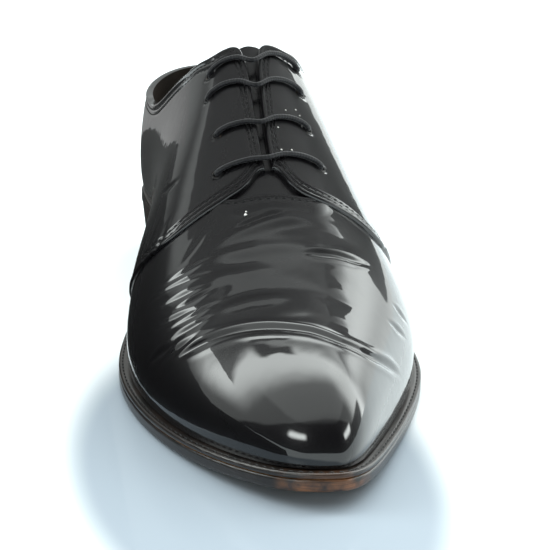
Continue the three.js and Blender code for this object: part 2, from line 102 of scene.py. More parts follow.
def lastCurves():
    rows = np.array(ballSections + heelSections)
    half = np.where(np.arange(len(rows)) < len(ballSections), last["ballWidth"], last["heelWidth"]) / 2
    scale = {"crest": last["instepHeight"], "inner": half, "outer": half, "lean": half,
             "innerSwell": half, "outerSwell": half}
    roots = np.sqrt(rows[:, 0])
    return {name: cubicThrough(roots, rows[:, i] * scale.get(name, 1.0))
            for i, name in enumerate(sectionColumns) if i > 0}


curves = lastCurves()


def smooth(x, low, high):
    t = np.clip((x - low) / (high - low), 0, 1)
    return t * t * (3 - 2 * t)


def bezier(a, b, c, d, t):
    r = 1 - t
    return a * r ** 3 + 3 * b * r * r * t + 3 * c * r * t * t + d * t ** 3


def bottomAt(s):
    # Height of the outsole's underside, s mm from the heel's back: heel height, shank, tread, toe spring.
    share = s / last["soleLength"]
    rise = np.maximum(0, (share - last["treadEnd"]) / (1 - last["treadEnd"]))
    return last["heelHeight"] * (1 - smooth(share, *last["shankSpan"])) + last["toeSpring"] * rise ** 2


def alongToU(along):
    # along is s ahead of the heel's axis, and goes on round the heel's curve behind it.
    ahead = np.sqrt(np.clip((last["featherTip"] - along) / last["length"] / last["heelShare"], 0, 1))
    return np.where(along >= last["heelAxis"], ahead, 1 + (last["heelAxis"] - along) / last["heelArc"])


def lastPoint(u, across):
    # Point of the last. u: 0 toe tip, 1 heel's axis, 2 heel's back. across: -1 and 1 the inner and the
    # outer feather line, 0 the ridge. Each half section is a Bezier curve; behind the axis it turns.
    u, across = np.broadcast_arrays(np.asarray(u, float), np.asarray(across, float))
    flip = (u < 0) | (u > 2)
    across = np.where(flip, -across, across)
    u = np.where(u < 0, -u, np.where(u > 2, 4 - u, u))
    isInner, side, v = across < 0, np.where(across < 0, -1.0, 1.0), 1 - np.abs(across)
    root = math.sqrt(last["heelShare"]) * np.minimum(u, 1)
    pick = lambda name: np.where(isInner, curves["inner" + name](root), curves["outer" + name](root))
    width, swell, crown = pick(""), pick("Swell"), pick("Crown")
    crest, lean = curves["crest"](root), side * curves["lean"](root)
    x = bezier(width, width + swell, crown * width + (1 - crown) * lean, lean, v)
    z = bezier(0, curves["belly"](root) * crest, crest, crest, v)
    s = last["featherTip"] - root ** 2 * last["length"]
    turn = np.clip(u - 1, 0, 1) * math.pi / 2
    radius, back = last["heelCurve"], last["backSwell"] * last["heelWidth"] / 2
    xBack = bezier(radius, radius + back, last["backCrown"] * radius, 0, v)
    zBack = bezier(0, last["backBelly"] * crest, crest, crest, v)
    toBack = np.sin(turn) ** 2
    y = np.where(u > 1, xBack * np.sin(turn), last["heelAxis"] - s)
    height = bottomAt(s) + last["footLine"] + np.where(u > 1, z * (1 - toBack) + zBack * toBack, z)
    return np.stack([side * x * np.cos(turn), y, height], -1)


def unit(vectors):
    return vectors / np.maximum(np.linalg.norm(vectors, axis=-1, keepdims=True), 1e-12)


def skin(u, across, out):
    # A point moved out from the last, square to its surface; level on the feather line.
    step = 1e-3
    u, across, out = np.broadcast_arrays(*(np.asarray(part, float) for part in (u, across, out)))
    wide = np.clip(across, -1 + step, 1 - step)
    alongStep = lastPoint(u + step, wide) - lastPoint(u - step, wide)
    normal = np.cross(lastPoint(u, wide + step) - lastPoint(u, wide - step), alongStep)
    normal[np.linalg.norm(normal, axis=-1) < 1e-9] = (0, 0, 1)
    atFeather = np.abs(across) > 1 - 1e-9
    normal[..., 2] = np.where(atFeather, 0, normal[..., 2])
    normal[..., 0] = np.where((u < 1e-9) | (u > 2 - 1e-9), 0, normal[..., 0])
    normal[u < 1e-9] = (0, -1, 0)
    return lastPoint(u, across) + unit(normal) * out[..., None]


def rim(u, side, out, height):
    # The feather line moved out, level, at a height over the sole's underside. side is one or many.
    points = skin(u, side * np.ones_like(u), out)
    points[..., 2] = bottomAt(np.clip(last["heelAxis"] - points[..., 1], 0, last["soleLength"])) + height
    return points


def shelfAt(u, side):
    share = (last["heelAxis"] - lastPoint(u, side * np.ones_like(u))[..., 1]) / last["soleLength"]
    toWaist, toToe = smooth(share, *last["waistSpan"]), smooth(share, *last["jointSpan"])
    return (last["heelShelf"] + (last["waistShelf"] - last["heelShelf"]) * toWaist
            + (last["toeShelf"] - last["waistShelf"]) * toToe)


def linear(hexColor):
    # sRGB hex to linear red, green, blue, alpha.
    values = np.array([int(hexColor[i:i + 2], 16) / 255 for i in (1, 3, 5)])
    values = np.where(values <= 0.04045, values / 12.92, ((values + 0.055) / 1.055) ** 2.4)
    return (*[float(value) for value in values], 1.0)


def addMesh(name, points, faces, materials, faceSlots=None, uv=None, sharpFrom=50.0):
    # points in mm; faces a list of arrays, one for each count of corners. Corners that coincide merge.
    corners = [face for part in faces for face in np.asarray(part).tolist()]
    mesh = bpy.data.meshes.new(name)
    mesh.from_pydata((np.asarray(points).reshape(-1, 3) * toMetres).tolist(), [], corners)
    if uv is not None:
        layer = mesh.uv_layers.new(name="along")
        corner = np.empty(len(mesh.loops), int)
        mesh.loops.foreach_get("vertex_index", corner)
        layer.data.foreach_set("uv", np.asarray(uv, float).reshape(-1, 2)[corner].ravel())
    for material in (materials if isinstance(materials, (list, tuple)) else [materials]):
        mesh.materials.append(material)
    if faceSlots is not None:
        mesh.polygons.foreach_set("material_index", np.asarray(faceSlots, dtype=np.int32))
    weld(mesh)
    mesh.shade_smooth()
    mesh.set_sharp_from_angle(angle=math.radians(sharpFrom))
    piece = bpy.data.objects.new(name, mesh)
    bpy.context.scene.collection.objects.link(piece)
    return piece


def weld(mesh, distance=2e-6):
    work = bmesh.new()
    work.from_mesh(mesh)
    bmesh.ops.remove_doubles(work, verts=work.verts, dist=distance)
    bmesh.ops.dissolve_degenerate(work, edges=work.edges, dist=distance / 2)
    work.to_mesh(mesh)
    work.free()


def gridFaces(rows, columns, start=0, isRing=False):
    # Quads of a grid whose points are numbered row by row; a ring closes its columns.
    i, j = np.meshgrid(np.arange(rows - 1), np.arange(columns if isRing else columns - 1), indexing="ij")
    right = (j + 1) % columns
    a = start + i * columns
    return np.stack([a + j, a + right, a + columns + right, a + columns + j], -1).reshape(-1, 4)


def tubeFaces(rows, columns):
    # The quads round a tube of rings, and its two ends.
    ends = np.stack([np.arange(columns), np.arange(columns)[::-1] + (rows - 1) * columns])
    return gridFaces(rows, columns, isRing=True), ends


def rimLoop(rows, columns):
    # Numbers of a grid's border points, once round.
    index = np.arange(rows * columns).reshape(rows, columns)
    return np.concatenate([index[0, :-1], index[:-1, -1], index[-1, :0:-1], index[:0:-1, 0]])


wallCoarse = 4


def shell(name, outside, inside, materials):
    # A closed leather panel from two grids: the fine outer face, the inner face on every fourth row
    # and column of it, and between their borders a fan of triangles for each coarse step.
    inside = inside[::wallCoarse, ::wallCoarse]
    (rows, columns), (rowsIn, columnsIn) = outside.shape[:2], inside.shape[:2]
    count = rows * columns
    front, back = gridFaces(rows, columns), gridFaces(rowsIn, columnsIn, count)[:, ::-1]
    fine = rimLoop(rows, columns)
    coarse = rimLoop(rowsIn, columnsIn) + count
    fine = np.concatenate([fine, fine[:1]])
    coarse = np.concatenate([coarse, coarse[:1]])
    k = np.arange(len(coarse) - 1) * wallCoarse
    near, far, half = coarse[:-1], coarse[1:], wallCoarse // 2
    fans = [np.stack([fine[k + i + 1], fine[k + i], near if i < half else far], -1)
            for i in range(wallCoarse)]
    fans.append(np.stack([fine[k + half], near, far], -1))
    side = np.concatenate(fans)
    slots = np.concatenate([np.zeros(len(front)), np.ones(len(back)), np.zeros(len(side))])
    points = np.concatenate([outside.reshape(-1, 3), inside.reshape(-1, 3)])
    return addMesh(name, points, [front, back, side], materials, slots)


def gridNormals(u, across):
    return unit(skin(u, across, 1.0) - skin(u, across, 0.0))


def rideRoot(piece, slot, *nodes):
    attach(piece, "root")
    if nodes:
        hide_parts(*nodes)
    return piece


def smoothPath(points, count):
    # Catmull-Rom curve through given points.
    points = np.asarray(points, float)
    padded = np.concatenate([2 * points[:1] - points[1:2], points, 2 * points[-1:] - points[-2:-1]])
    position = np.linspace(0, len(points) - 1 - 1e-9, count)
    i, t = position.astype(int), (position % 1)[:, None]
    a, b, c, d = (padded[i + k] for k in range(4))
    return (2 * b + (c - a) * t + (2 * a - 5 * b + 4 * c - d) * t ** 2 + (3 * b - a - 3 * c + d) * t ** 3) / 2


def runLength(path):
    return np.concatenate([[0], np.cumsum(np.linalg.norm(np.diff(path, axis=0), axis=-1))])


def tube(name, path, radius, material, sides, flat=1.0, upward=(0.0, 0.0, 1.0)):
    # An oval carried along a path; flat is its height over its width.
    tangent = unit(np.gradient(path, axis=0))
    sideways = unit(np.cross(tangent, np.array(upward)))
    normal = np.cross(sideways, tangent)
    angle = np.linspace(0, 2 * math.pi, sides, endpoint=False)
    ring = normal[:, None] * (flat * np.cos(angle))[:, None] + sideways[:, None] * np.sin(angle)[:, None]
    points = path[:, None] + radius * ring
    uv = np.stack(np.broadcast_arrays(runLength(path)[:, None], angle[None, :] / (2 * math.pi)), -1)
    return addMesh(name, points, tubeFaces(len(path), sides), material, uv=uv)


thread = {"rings": 7, "sides": 6, "blunt": 0.93, "raise": 0.35}


def stitches(name, rows, material, length=2.1, pitch=2.9, radius=0.28, sink=0.42):
    # Short threads in rows. Each row is a path and the leather's normals on it; a thread is a six-sided
    # tube whose radius follows a half ellipse, and its ends dip into the leather.
    along = np.linspace(-1, 1, thread["rings"])
    girth = np.sqrt(1 - (thread["blunt"] * along) ** 2)
    angle = np.linspace(0, 2 * math.pi, thread["sides"], endpoint=False)
    points = []
    for path, normals in rows:
        run = runLength(path)
        at = np.arange(pitch / 2, run[-1], pitch)
        pick = lambda values: np.stack([np.interp(at, run, values[:, k]) for k in range(3)], -1)
        middle, up = pick(path), unit(pick(normals))
        ahead = unit(pick(np.gradient(path, axis=0)))
        aside = np.cross(ahead, up)
        spine = (middle[:, None] + ahead[:, None] * (along * length / 2)[:, None]
                 + up[:, None] * (radius * thread["raise"] - sink * along ** 2)[:, None])
        ring = up[:, None] * np.cos(angle)[:, None] + aside[:, None] * np.sin(angle)[:, None]
        points.append(spine[:, :, None] + radius * girth[:, None, None] * ring[:, None])
    points = np.concatenate(points)
    base = (np.arange(len(points)) * thread["rings"] * thread["sides"])[:, None, None]
    faces = [(part + base).reshape(-1, part.shape[1]) for part in tubeFaces(thread["rings"], thread["sides"])]
    return addMesh(name, points, faces, material)


# Camera: its place and the photograph's view were fitted to the outlines of the sole and the upper.
# aim is the middle of the one shoe in that view, and closer brings it up to the frame's height.
view = {"place": (-96.8, -660.7, 206.2), "turn": 0.0995, "tilt": 0.3557, "focal": 750.0, "frame": 550.0,
        "aim": (340.0, 247.0), "closer": 1.95, "sensor": 36.0, "clip": (0.01, 20.0)}


def makeCamera():
    turn, tilt, half = view["turn"], view["tilt"], view["frame"] / 2
    forward = Vector((math.sin(turn) * math.cos(tilt), math.cos(turn) * math.cos(tilt), -math.sin(tilt)))
    right = forward.cross(Vector((0, 0, 1))).normalized()
    up = right.cross(forward)
    across, down = (view["aim"][0] - half) / view["focal"], (view["aim"][1] - half) / view["focal"]
    aimed = (forward + right * across - up * down).normalized()
    right = (right - aimed * right.dot(aimed)).normalized()
    data = bpy.data.cameras.new("camera")
    data.sensor_width = view["sensor"]
    data.lens = view["sensor"] * view["focal"] * view["closer"] * math.hypot(1, across, down) / view["frame"]
    data.clip_start, data.clip_end = view["clip"]
    camera = bpy.data.objects.new("camera", data)
    axes = Matrix((right, right.cross(aimed), -aimed)).transposed()
    camera.matrix_world = Matrix.Translation(Vector(view["place"]) * toMetres) @ axes.to_4x4()
    bpy.context.scene.collection.objects.link(camera)
    bpy.context.scene.camera = camera


makeCamera()


def plug(tree, node, *ordered, **named):
    # Fills a node's inputs in order or by name: an output is linked, a value set, None passed over.
    spaced = ((name.replace("_", " "), value) for name, value in named.items())
    for key, value in (*enumerate(ordered), *spaced):
        if isinstance(value, bpy.types.NodeSocket):
            tree.links.new(value, node.inputs[key])
        elif value is not None:
            node.inputs[key].default_value = value
    return node


def addNode(tree, kind, *ordered, properties=None, **named):
    # One shader node: its own properties, and its inputs as plug takes them.
    node = tree.nodes.new(f"ShaderNode{kind}")
    for name, value in (properties or {}).items():
        setattr(node, name, value)
    return plug(tree, node, *ordered, **named)


def mapNode(tree, value, low, high, fromLow=0.0, fromHigh=1.0):
    # A smooth step from one value to another as the input goes from low to high.
    return addNode(tree, "MapRange", value, low, high, fromLow, fromHigh,
                   properties={"interpolation_type": "SMOOTHSTEP"}).outputs["Result"]


def mixNode(tree, share, first, second):
    # The colours are the seventh and eighth inputs; the five before them serve other kinds of mix.
    inputs = (share, *[None] * 5, first, second)
    return addNode(tree, "Mix", *inputs, properties={"data_type": "RGBA"}).outputs[2]


def mathNode(tree, operation, *values):
    return addNode(tree, "Math", *values, properties={"operation": operation}).outputs[0]


def productNode(tree, first, *others):
    for other in others:
        first = mathNode(tree, "MULTIPLY", first, other)
    return first


def rampNode(tree, value, *stops):
    # Colours over a value: each stop is (place, hex).
    node = addNode(tree, "ValToRGB", value)
    elements = node.color_ramp.elements
    while len(elements) < len(stops):
        elements.new(0.5)
    for element, (place, color) in zip(elements, stops):
        element.position, element.color = place, linear(color)
    return node.outputs["Color"]


def coordinates(tree, kind="Object"):
    return addNode(tree, "TexCoord").outputs[kind]


def partsOf(tree, kind="Object"):
    return addNode(tree, "SeparateXYZ", coordinates(tree, kind)).outputs


def texture(tree, kind, scale, detail=None, roughness=None):
    # Noise or Voronoi cells in the piece's own metres; scale is one number or one for each axis.
    place = coordinates(tree)
    if isinstance(scale, tuple):
        place, scale = addNode(tree, "Mapping", Vector=place, Scale=scale).outputs["Vector"], 1.0
    inputs = {"Vector": place, "Scale": scale, "Detail": detail, "Roughness": roughness}
    return addNode(tree, f"Tex{kind}", **inputs).outputs[0]


def bumpNode(tree, height, strength, distance, normal=None):
    inputs = {"Height": height, "Strength": strength, "Distance": distance, "Normal": normal}
    return addNode(tree, "Bump", **inputs).outputs[0]


def newMaterial(name, **sockets):
    material = bpy.data.materials.new(name)
    material.use_nodes = True
    tree = material.node_tree
    return material, tree, plug(tree, tree.nodes["Principled BSDF"], **sockets)


def mixSurface(tree, output, share, first, second):
    both = addNode(tree, "MixShader", share, first.outputs[0], second.outputs[0])
    plug(tree, tree.nodes[output], Surface=both.outputs[0])


def grainedMaterial(name, stops, tint, grain=None, bump=(), **sockets):
    # One texture coloured by its stops, and one raised by a bump, (strength, distance in metres).
    material, tree, shader = newMaterial(name, **sockets)
    return finished(material, shader, rampNode(tree, texture(tree, *tint), *stops),
                    bumpNode(tree, texture(tree, *grain), *bump) if grain else None)


def finished(material, shader, color, normal, **others):
    plug(material.node_tree, shader, Base_Color=color, Normal=normal, **others)
    return material


def patentLeather():
    # Patent leather: dyed black calf under a poured lacquer. The lacquer gives a mirror with a slow
    # orange-peel wave of about 6 mm and the fine pull of the grain, 0.8 mm.
    material, tree, shader = newMaterial("patent leather", Roughness=0.34, IOR=1.5, Specular_IOR_Level=0.12,
                                         Coat_Weight=1.0, Coat_Roughness=0.03, Coat_IOR=1.52)
    peel = bumpNode(tree, texture(tree, "Noise", 160.0, 1.0, 0.4), 0.10, 0.0006)
    grain = bumpNode(tree, texture(tree, "Noise", 1250.0, 2.0), 0.06, 0.0001, peel)
    return finished(material, shader, linear("#0a090b"), grain, Coat_Normal=peel)


plait = {"pitch": 2.4, "strands": 3}


def waxedLace():
    # Waxed cotton cord, black: a tight plait of about 1.2 mm, drawn on the cord's own length and turn.
    # Its height is half of 1 + sin(length + turn) sin(length - turn).
    material, tree, shader = newMaterial("waxed cotton lace", Roughness=0.48, IOR=1.45, Sheen_Weight=0.1)
    parts = partsOf(tree, "UV")
    length = mathNode(tree, "MULTIPLY", parts["X"], 2 * math.pi / plait["pitch"])
    turn = mathNode(tree, "MULTIPLY", parts["Y"], 2 * math.pi * plait["strands"])
    strand = [mathNode(tree, "SINE", mathNode(tree, way, length, turn)) for way in ("ADD", "SUBTRACT")]
    height = mathNode(tree, "ADD", productNode(tree, *strand, 0.5), 0.5)
    # The colour follows the plait's height: the grooves between the strands are painted darker than the
    # raised strands, as painted shade.
    return finished(material, shader, rampNode(tree, height, (0.1, "#08080a"), (0.9, "#1b1b20")),
                    bumpNode(tree, height, 0.7, 0.00025))


# Where the edge is worn, each from sound to bare: y and z in metres, and the value of the noise.
wear = {"toe": (-0.262, -0.2695), "low": (0.0135, 0.0075), "rub": (0.36, 0.60)}


def inkedEdge():
    # Leather edge, inked black and ironed with wax: level fibre lines 0.3 mm apart, and the ink rubbed
    # off to brown leather low down round the toe.
    material, tree, shader = newMaterial("inked sole edge", Roughness=0.33, IOR=1.48, Coat_Weight=0.25,
                                         Coat_Roughness=0.2)
    parts, fibre = partsOf(tree), texture(tree, "Noise", (90.0, 90.0, 3300.0), 4.0)
    bare = productNode(tree, mapNode(tree, parts["Y"], *wear["toe"]), mapNode(tree, parts["Z"], *wear["low"]),
                       mapNode(tree, texture(tree, "Noise", 130.0, 5.0), *wear["rub"]))
    ink = rampNode(tree, fibre, (0.3, "#0b0908"), (0.7, "#231b17"))
    leather = rampNode(tree, fibre, (0.25, "#4a2f1e"), (0.75, "#94613c"))
    return finished(material, shader, mixNode(tree, bare, ink, leather), bumpNode(tree, fibre, 0.45, 0.0003))


def soleLeather():
    # Oak-bark sole leather, natural tan: rubbed smooth and dark with scratches along the way it treads.
    material, tree, shader = newMaterial("sole leather", IOR=1.48)
    scuff, scratch = texture(tree, "Noise", 42.0, 7.0), texture(tree, "Noise", (900.0, 60.0, 900.0), 3.0)
    both = mathNode(tree, "ADD", productNode(tree, scuff, 0.65), productNode(tree, scratch, 0.35))
    return finished(material, shader,
                    rampNode(tree, both, (0.30, "#3f2a1a"), (0.48, "#7c5735"), (0.70, "#a67c50")),
                    bumpNode(tree, both, 0.4, 0.0003), Roughness=mapNode(tree, scuff, 0.2, 0.8, 0.4, 0.65))


finishes = {
    "patent": patentLeather(), "lace": waxedLace(), "edge": inkedEdge(), "sole": soleLeather(),
    # Glazed sheepskin lining, black: soft sheen, close grain about 0.6 mm wide, rubbed paler in clouds.
    "lining": grainedMaterial("lining leather", ((0.3, "#17130f"), (0.7, "#2a231d")), ("Noise", 45.0, 3.0),
                              ("Voronoi", 1500.0), (0.35, 0.0002), Roughness=0.55, IOR=1.45),
    # Sock leather over the insole: smooth black sheepskin, dulled and greyed where the foot stood.
    "sock": grainedMaterial("sock leather", ((0.35, "#1d1916"), (0.75, "#3a332c")), ("Noise", 22.0, 4.0),
                            ("Voronoi", 1100.0), (0.3, 0.0002), Roughness=0.5, IOR=1.45),
    # Bonded nylon thread, black: uneven twisted plies, a dull gloss.
    "thread": grainedMaterial("sewing thread", ((0.3, "#060607"), (0.7, "#121214")), ("Noise", 2200.0, 1.0),
                              ("Noise", 2200.0, 1.0), (0.4, 0.0001), Roughness=0.5, IOR=1.4),
    # Moulded rubber top piece: matt, with a pebble of about 1.4 mm and grey dust on it.
    "rubber": grainedMaterial("heel rubber", ((0.4, "#100f0f"), (0.75, "#2b2a29")), ("Noise", 90.0, 5.0),
                              ("Voronoi", 700.0), (0.5, 0.0003), Roughness=0.7, IOR=1.52),
    # Brass eyelet under black enamel, worn a little brown on its roll.
    "eyelet": grainedMaterial("black enamelled eyelet", ((0.55, "#0c0c0d"), (0.75, "#3a2f25")),
                              ("Noise", 700.0, 3.0), ("Noise", 700.0, 3.0), (0.2, 0.0001),
                              Roughness=0.3, IOR=1.5),
    # Small white specks on the lacquer, off-white with a little uneven tone.
    "whiteSpecks": grainedMaterial("white speck", ((0.3, "#c9c7c2"), (0.7, "#f4f3f0")), ("Noise", 3000.0),
                            Roughness=0.9),
}
print("camera and materials ready")


# Vamp: from the toe tip back under the quarters. It ends rearFrom mm from the heel, over rearUp, the
# share of the way from the feather line to the ridge.
vamp = {
    "alongSteps": 380, "acrossSteps": 240, "crowd": 0.8, "wall": 1.6,
    "rearMean": (10, 4.0), "ridgeMean": (9, 4.0), "ridgeSpan": (15, 30), "lowEdge": 0.06,
    "rearUp": (0.0, 0.3, 0.6, 0.77, 0.80, 1.0), "rearFrom": (138.0, 168.0, 190.0, 199.0, 203.5, 204.5),
}

# The vamp's rear edge across the tongue: a folded edge with one row of stitches, in mm.
throat = {"half": 0.25, "fade": 0.05, "step": 0.55, "edgeRoll": 0.6, "skive": 9.0, "stitchIn": 2.0, 
          "grooveDepth": 0.25, "grooveWidth": 0.5}

# Creases walked into the vamp. depth and width in mm, front and rear the swells on the toe's and the
# heel's side as shares of the depth, fade the share of the route that each end takes to fade out; below
# nought the depth is a ridge. Route: (mm from the heel, across), across -1 and 1 at the inner and the
# outer feather line and 0 on the ridge.
creaseColumns = ("depth", "width", "front", "rear", "fade", "route")
creases = (
    (0.55, 1.5, 0.25, 0.75, 0.12,
     ((246.0, -0.71), (252.5, -0.52), (259.5, -0.284), (265.5, -0.07), (269.0, 0.11), (269.7, 0.27),
      (266.5, 0.48), (258.5, 0.67), (248.0, 0.83))),
    (-0.28, 2.7, 0.0, 0.25, 0.25,
     ((219.5, -0.36), (217.8, -0.24), (216.8, -0.14), (215.0, -0.02), (213.0, 0.09), (212.2, 0.18))),
    (0.40, 1.1, 0.0, 0.3, 0.30,
     ((215.0, -0.21), (214.3, -0.12), (212.8, -0.03), (211.5, 0.05))),
    (0.26, 2.8, 0.1, 0.1, 0.35,
     ((220.5, -0.08), (218.0, 0.04), (216.2, 0.18), (214.8, 0.30))),
    (-0.26, 3.2, 0.1, 0.1, 0.2,
     ((220.0, -0.36), (224.8, -0.18), (226.2, -0.01), (225.5, 0.16), (220.5, 0.33), (215.5, 0.46))),
    (0.60, 1.3, 0.35, 0.35, 0.30,
     ((229.6, 0.07), (227.6, 0.155), (225.4, 0.25), (223.0, 0.348), (218.5, 0.46))),
    (-0.24, 2.8, 0.1, 0.2, 0.25,
     ((230.6, -0.39), (232.2, -0.283), (234.3, -0.20), (236.3, -0.05))),
    (0.26, 3.6, 0.1, 0.1, 0.25,
     ((242.5, -0.38), (243.0, -0.24), (244.6, -0.09), (246.6, 0.04), (248.2, 0.22), (247.0, 0.36))),
    (-0.24, 2.4, 0.1, 0.1, 0.3,
     ((245.0, -0.40), (246.6, -0.25), (248.6, -0.13), (250.5, 0.0))),
    (0.20, 3.0, 0.1, 0.2, 0.35,
     ((259.0, -0.17), (260.3, 0.0), (261.3, 0.18), (260.0, 0.32))),
)

# Short wrinkles on the inner side, where the joint of the big toe bends: (from, to) as routes' ends.
wrinkles = {
    "depth": 0.42, "width": 1.3, "front": 0.15, "rear": 0.3, "fade": 0.5, "bow": 1.2, "stretch": 1.4,
    "ends": (((214.9, -0.44), (207.4, -0.28)), ((215.8, -0.56), (221.4, -0.32)),
             ((215.0, -0.62), (227.2, -0.34)), ((223.0, -0.60), (231.0, -0.38)),
             ((230.6, -0.54), (234.6, -0.35)), ((228.0, -0.66), (238.0, -0.44)),
             ((235.4, -0.60), (241.2, -0.37)), ((238.3, -0.65), (245.0, -0.42)),
             ((232.6, -0.80), (241.8, -0.60)), ((240.0, -0.74), (247.6, -0.52)),
             ((226.0, 0.60), (221.0, 0.74)), ((238.0, 0.58), (231.0, 0.74))),
}

# Wrinkles in the quarters, just behind their front edge.
quarterCreases = {
    -1: (((198.0, -0.58), (190.4, -0.46)), ((192.0, -0.66), (184.0, -0.52)), ((184.0, -0.70), (176.0, -0.60)),
         ((176.0, -0.42), (168.0, -0.52))),
    1: (((192.0, 0.64), (184.0, 0.52)), ((182.0, 0.70), (173.0, 0.58))),
}


section = {"steps": 60, "reach": 4.5, "swellAt": 1.9, "narrowest": 0.55}


def creaseRelief(points, crease):
    # Relief in mm of one crease at each point. By the distance d from its route: a trough
    # -depth exp(-(d/width)^2), and on either side a swell centred 1.9 widths away; both fade out and
    # grow narrower towards the route's ends.
    s, across = smoothPath(crease["route"], section["steps"]).T
    route = lastPoint(alongToU(s), across)
    reach = section["reach"] * crease["width"]
    flat = points.reshape(-1, 3)
    near = np.all((flat > route.min(0) - reach) & (flat < route.max(0) + reach), axis=1)
    picked = flat[near]
    nearest = np.linalg.norm(picked[:, None] - route[None], axis=-1).argmin(1)
    tangent = unit(np.gradient(route, axis=0))[nearest]
    offset = picked - route[nearest]
    past = (offset * tangent).sum(-1)
    offset = offset - past[:, None] * tangent
    t = nearest / (len(route) - 1) + past / runLength(route)[-1]
    fade = crease["fade"]
    taper = smooth(t, 0, fade) * (1 - smooth(t, 1 - fade, 1))
    narrow = section["narrowest"] + (1 - section["narrowest"]) * taper
    distance = np.linalg.norm(offset, axis=-1) / (crease["width"] * narrow)
    ahead = np.cross(tangent, (0, 0, 1.0))
    ahead = np.where(ahead[:, 1:2] > 0, -ahead, ahead)
    isFront = (offset * ahead).sum(-1) > 0
    swell = np.where(isFront, crease["front"], crease["rear"]) * np.exp(-(distance - section["swellAt"]) ** 2)
    relief = np.zeros(len(flat))
    relief[near] = crease["depth"] * taper * (swell - np.exp(-distance ** 2))
    return relief.reshape(points.shape[:-1])


def wrinkleRelief(points, ends):
    total = np.zeros(points.shape[:-1])
    for start, end in np.array(ends):
        middle, half = (start + end) / 2, (end - start) / 2 * wrinkles["stretch"]
        route = np.array((middle - half, middle + (wrinkles["bow"], 0.0), middle + half))
        total += creaseRelief(points, {**wrinkles, "route": route})
    return total


def gaussian(reach, width):
    # Weights of a Gaussian mean over the neighbours on either side.
    weights = np.exp(-0.5 * (np.arange(-reach, reach + 1) / width) ** 2)
    return weights / weights.sum()


def evened(values, weights):
    # A weighted mean of each value's neighbours; beyond the ends the last value goes on.
    return np.convolve(np.pad(values, len(weights) // 2, mode="edge"), weights, mode="valid")


def lengthFrom(points, axis, fromEnd=False):
    # Length along the grid's lines from one edge, times the sine of the angle at which they meet it.
    order = points if not fromEnd else np.flip(points, axis)
    steps = np.linalg.norm(np.diff(order, axis=axis), axis=-1)
    zero = np.zeros_like(np.take(steps, [0], axis=axis))
    length = np.concatenate([zero, np.cumsum(steps, axis)], axis)
    border = np.take(order, 0, axis=axis)
    tangent = unit(np.gradient(border, axis=0))
    leaving = unit(np.take(order, 8, axis=axis) - border)
    sine = evened(np.linalg.norm(np.cross(tangent, leaving), axis=-1), np.ones(9) / 9)
    length = length * np.expand_dims(np.clip(sine, 0.3, 1), axis)
    return length if not fromEnd else np.flip(length, axis)


def rolled(distance, radius):
    # 0 at the edge and 1 from the radius on, along a quarter circle.
    return np.sqrt(np.clip(1 - (1 - np.clip(distance / radius, 0, 1)) ** 2, 0, 1))


def lineAt(grid, distance, value):
    # Where each line of the grid's first axis passes a distance from the edge.
    i, j = np.argmax(distance > value, axis=0), np.arange(grid.shape[1])
    low, high = distance[i - 1, j], distance[i, j]
    t = ((value - low) / (high - low))[:, None]
    return grid[i - 1, j] * (1 - t) + grid[i, j] * t


def arcFromRidge(points):
    # Signed length across each station, 0 on its middle column.
    steps = np.linalg.norm(np.diff(points, axis=1), axis=-1)
    arc = np.concatenate([np.zeros((len(points), 1)), np.cumsum(steps, 1)], 1)
    middle = points.shape[1] // 2
    return arc - arc[:, middle:middle + 1]


def makePanel(name, outside, inside, slot, node):
    # A shell of patent leather with its lining.
    return rideRoot(shell(name, outside, inside, [finishes["patent"], finishes["lining"]]), slot, node)


def vampPlace():
    half = vamp["acrossSteps"] // 2
    across = np.linspace(-1, 1, 2 * half + 1)
    rear = np.interp(1 - np.abs(across), vamp["rearUp"], vamp["rearFrom"])
    rear = evened(rear, gaussian(*vamp["rearMean"]))
    t = np.linspace(0, 1, vamp["alongSteps"] + 1)[:, None] ** vamp["crowd"]
    return t * alongToU(rear)[None, :], np.broadcast_to(across, (len(t), len(across)))


def smoothRidge(points, arc):
    # A Gaussian mean across the ridge, which evens out the change of curvature there.
    reach, weights = vamp["ridgeMean"][0], gaussian(*vamp["ridgeMean"])
    padded = np.pad(points, ((0, 0), (reach, reach), (0, 0)), mode="edge")
    mean = sum(weight * padded[:, i:i + points.shape[1]] for i, weight in enumerate(weights))
    share = (1 - smooth(np.abs(arc), *vamp["ridgeSpan"]))[..., None]
    return points * (1 - share) + mean * share


def groove(distance, at, seam):
    return seam["grooveDepth"] * np.exp(-((distance - at) / seam["grooveWidth"]) ** 2)


def vampSurface():
    u, across = vampPlace()
    base = skin(u, across, 0.0)
    base = smoothRidge(base, arcFromRidge(base))
    relief = sum(creaseRelief(base, dict(zip(creaseColumns, row))) for row in creases)
    relief = relief + wrinkleRelief(base, wrinkles["ends"])
    relief = relief * smooth(1 - np.abs(across), 0.0, vamp["lowEdge"])
    toRear = lengthFrom(base, 0, True)
    level = rolled(toRear, throat["edgeRoll"]) - smooth(toRear, throat["skive"] / 3, throat["skive"])
    seam = throat["step"] * level
    seam = seam - groove(toRear, throat["stitchIn"], throat)
    seam = seam * (1 - smooth(np.abs(across), throat["half"], throat["half"] + throat["fade"]))
    normals = gridNormals(u, across)
    outside = base + normals * (relief + seam)[..., None]
    centre = np.abs(across[0]) < throat["half"]
    row = [lineAt(np.flip(grid, 0), np.flip(toRear, 0), throat["stitchIn"])[centre]
           for grid in (outside, normals)]
    return outside, skin(u, across, -vamp["wall"]), row


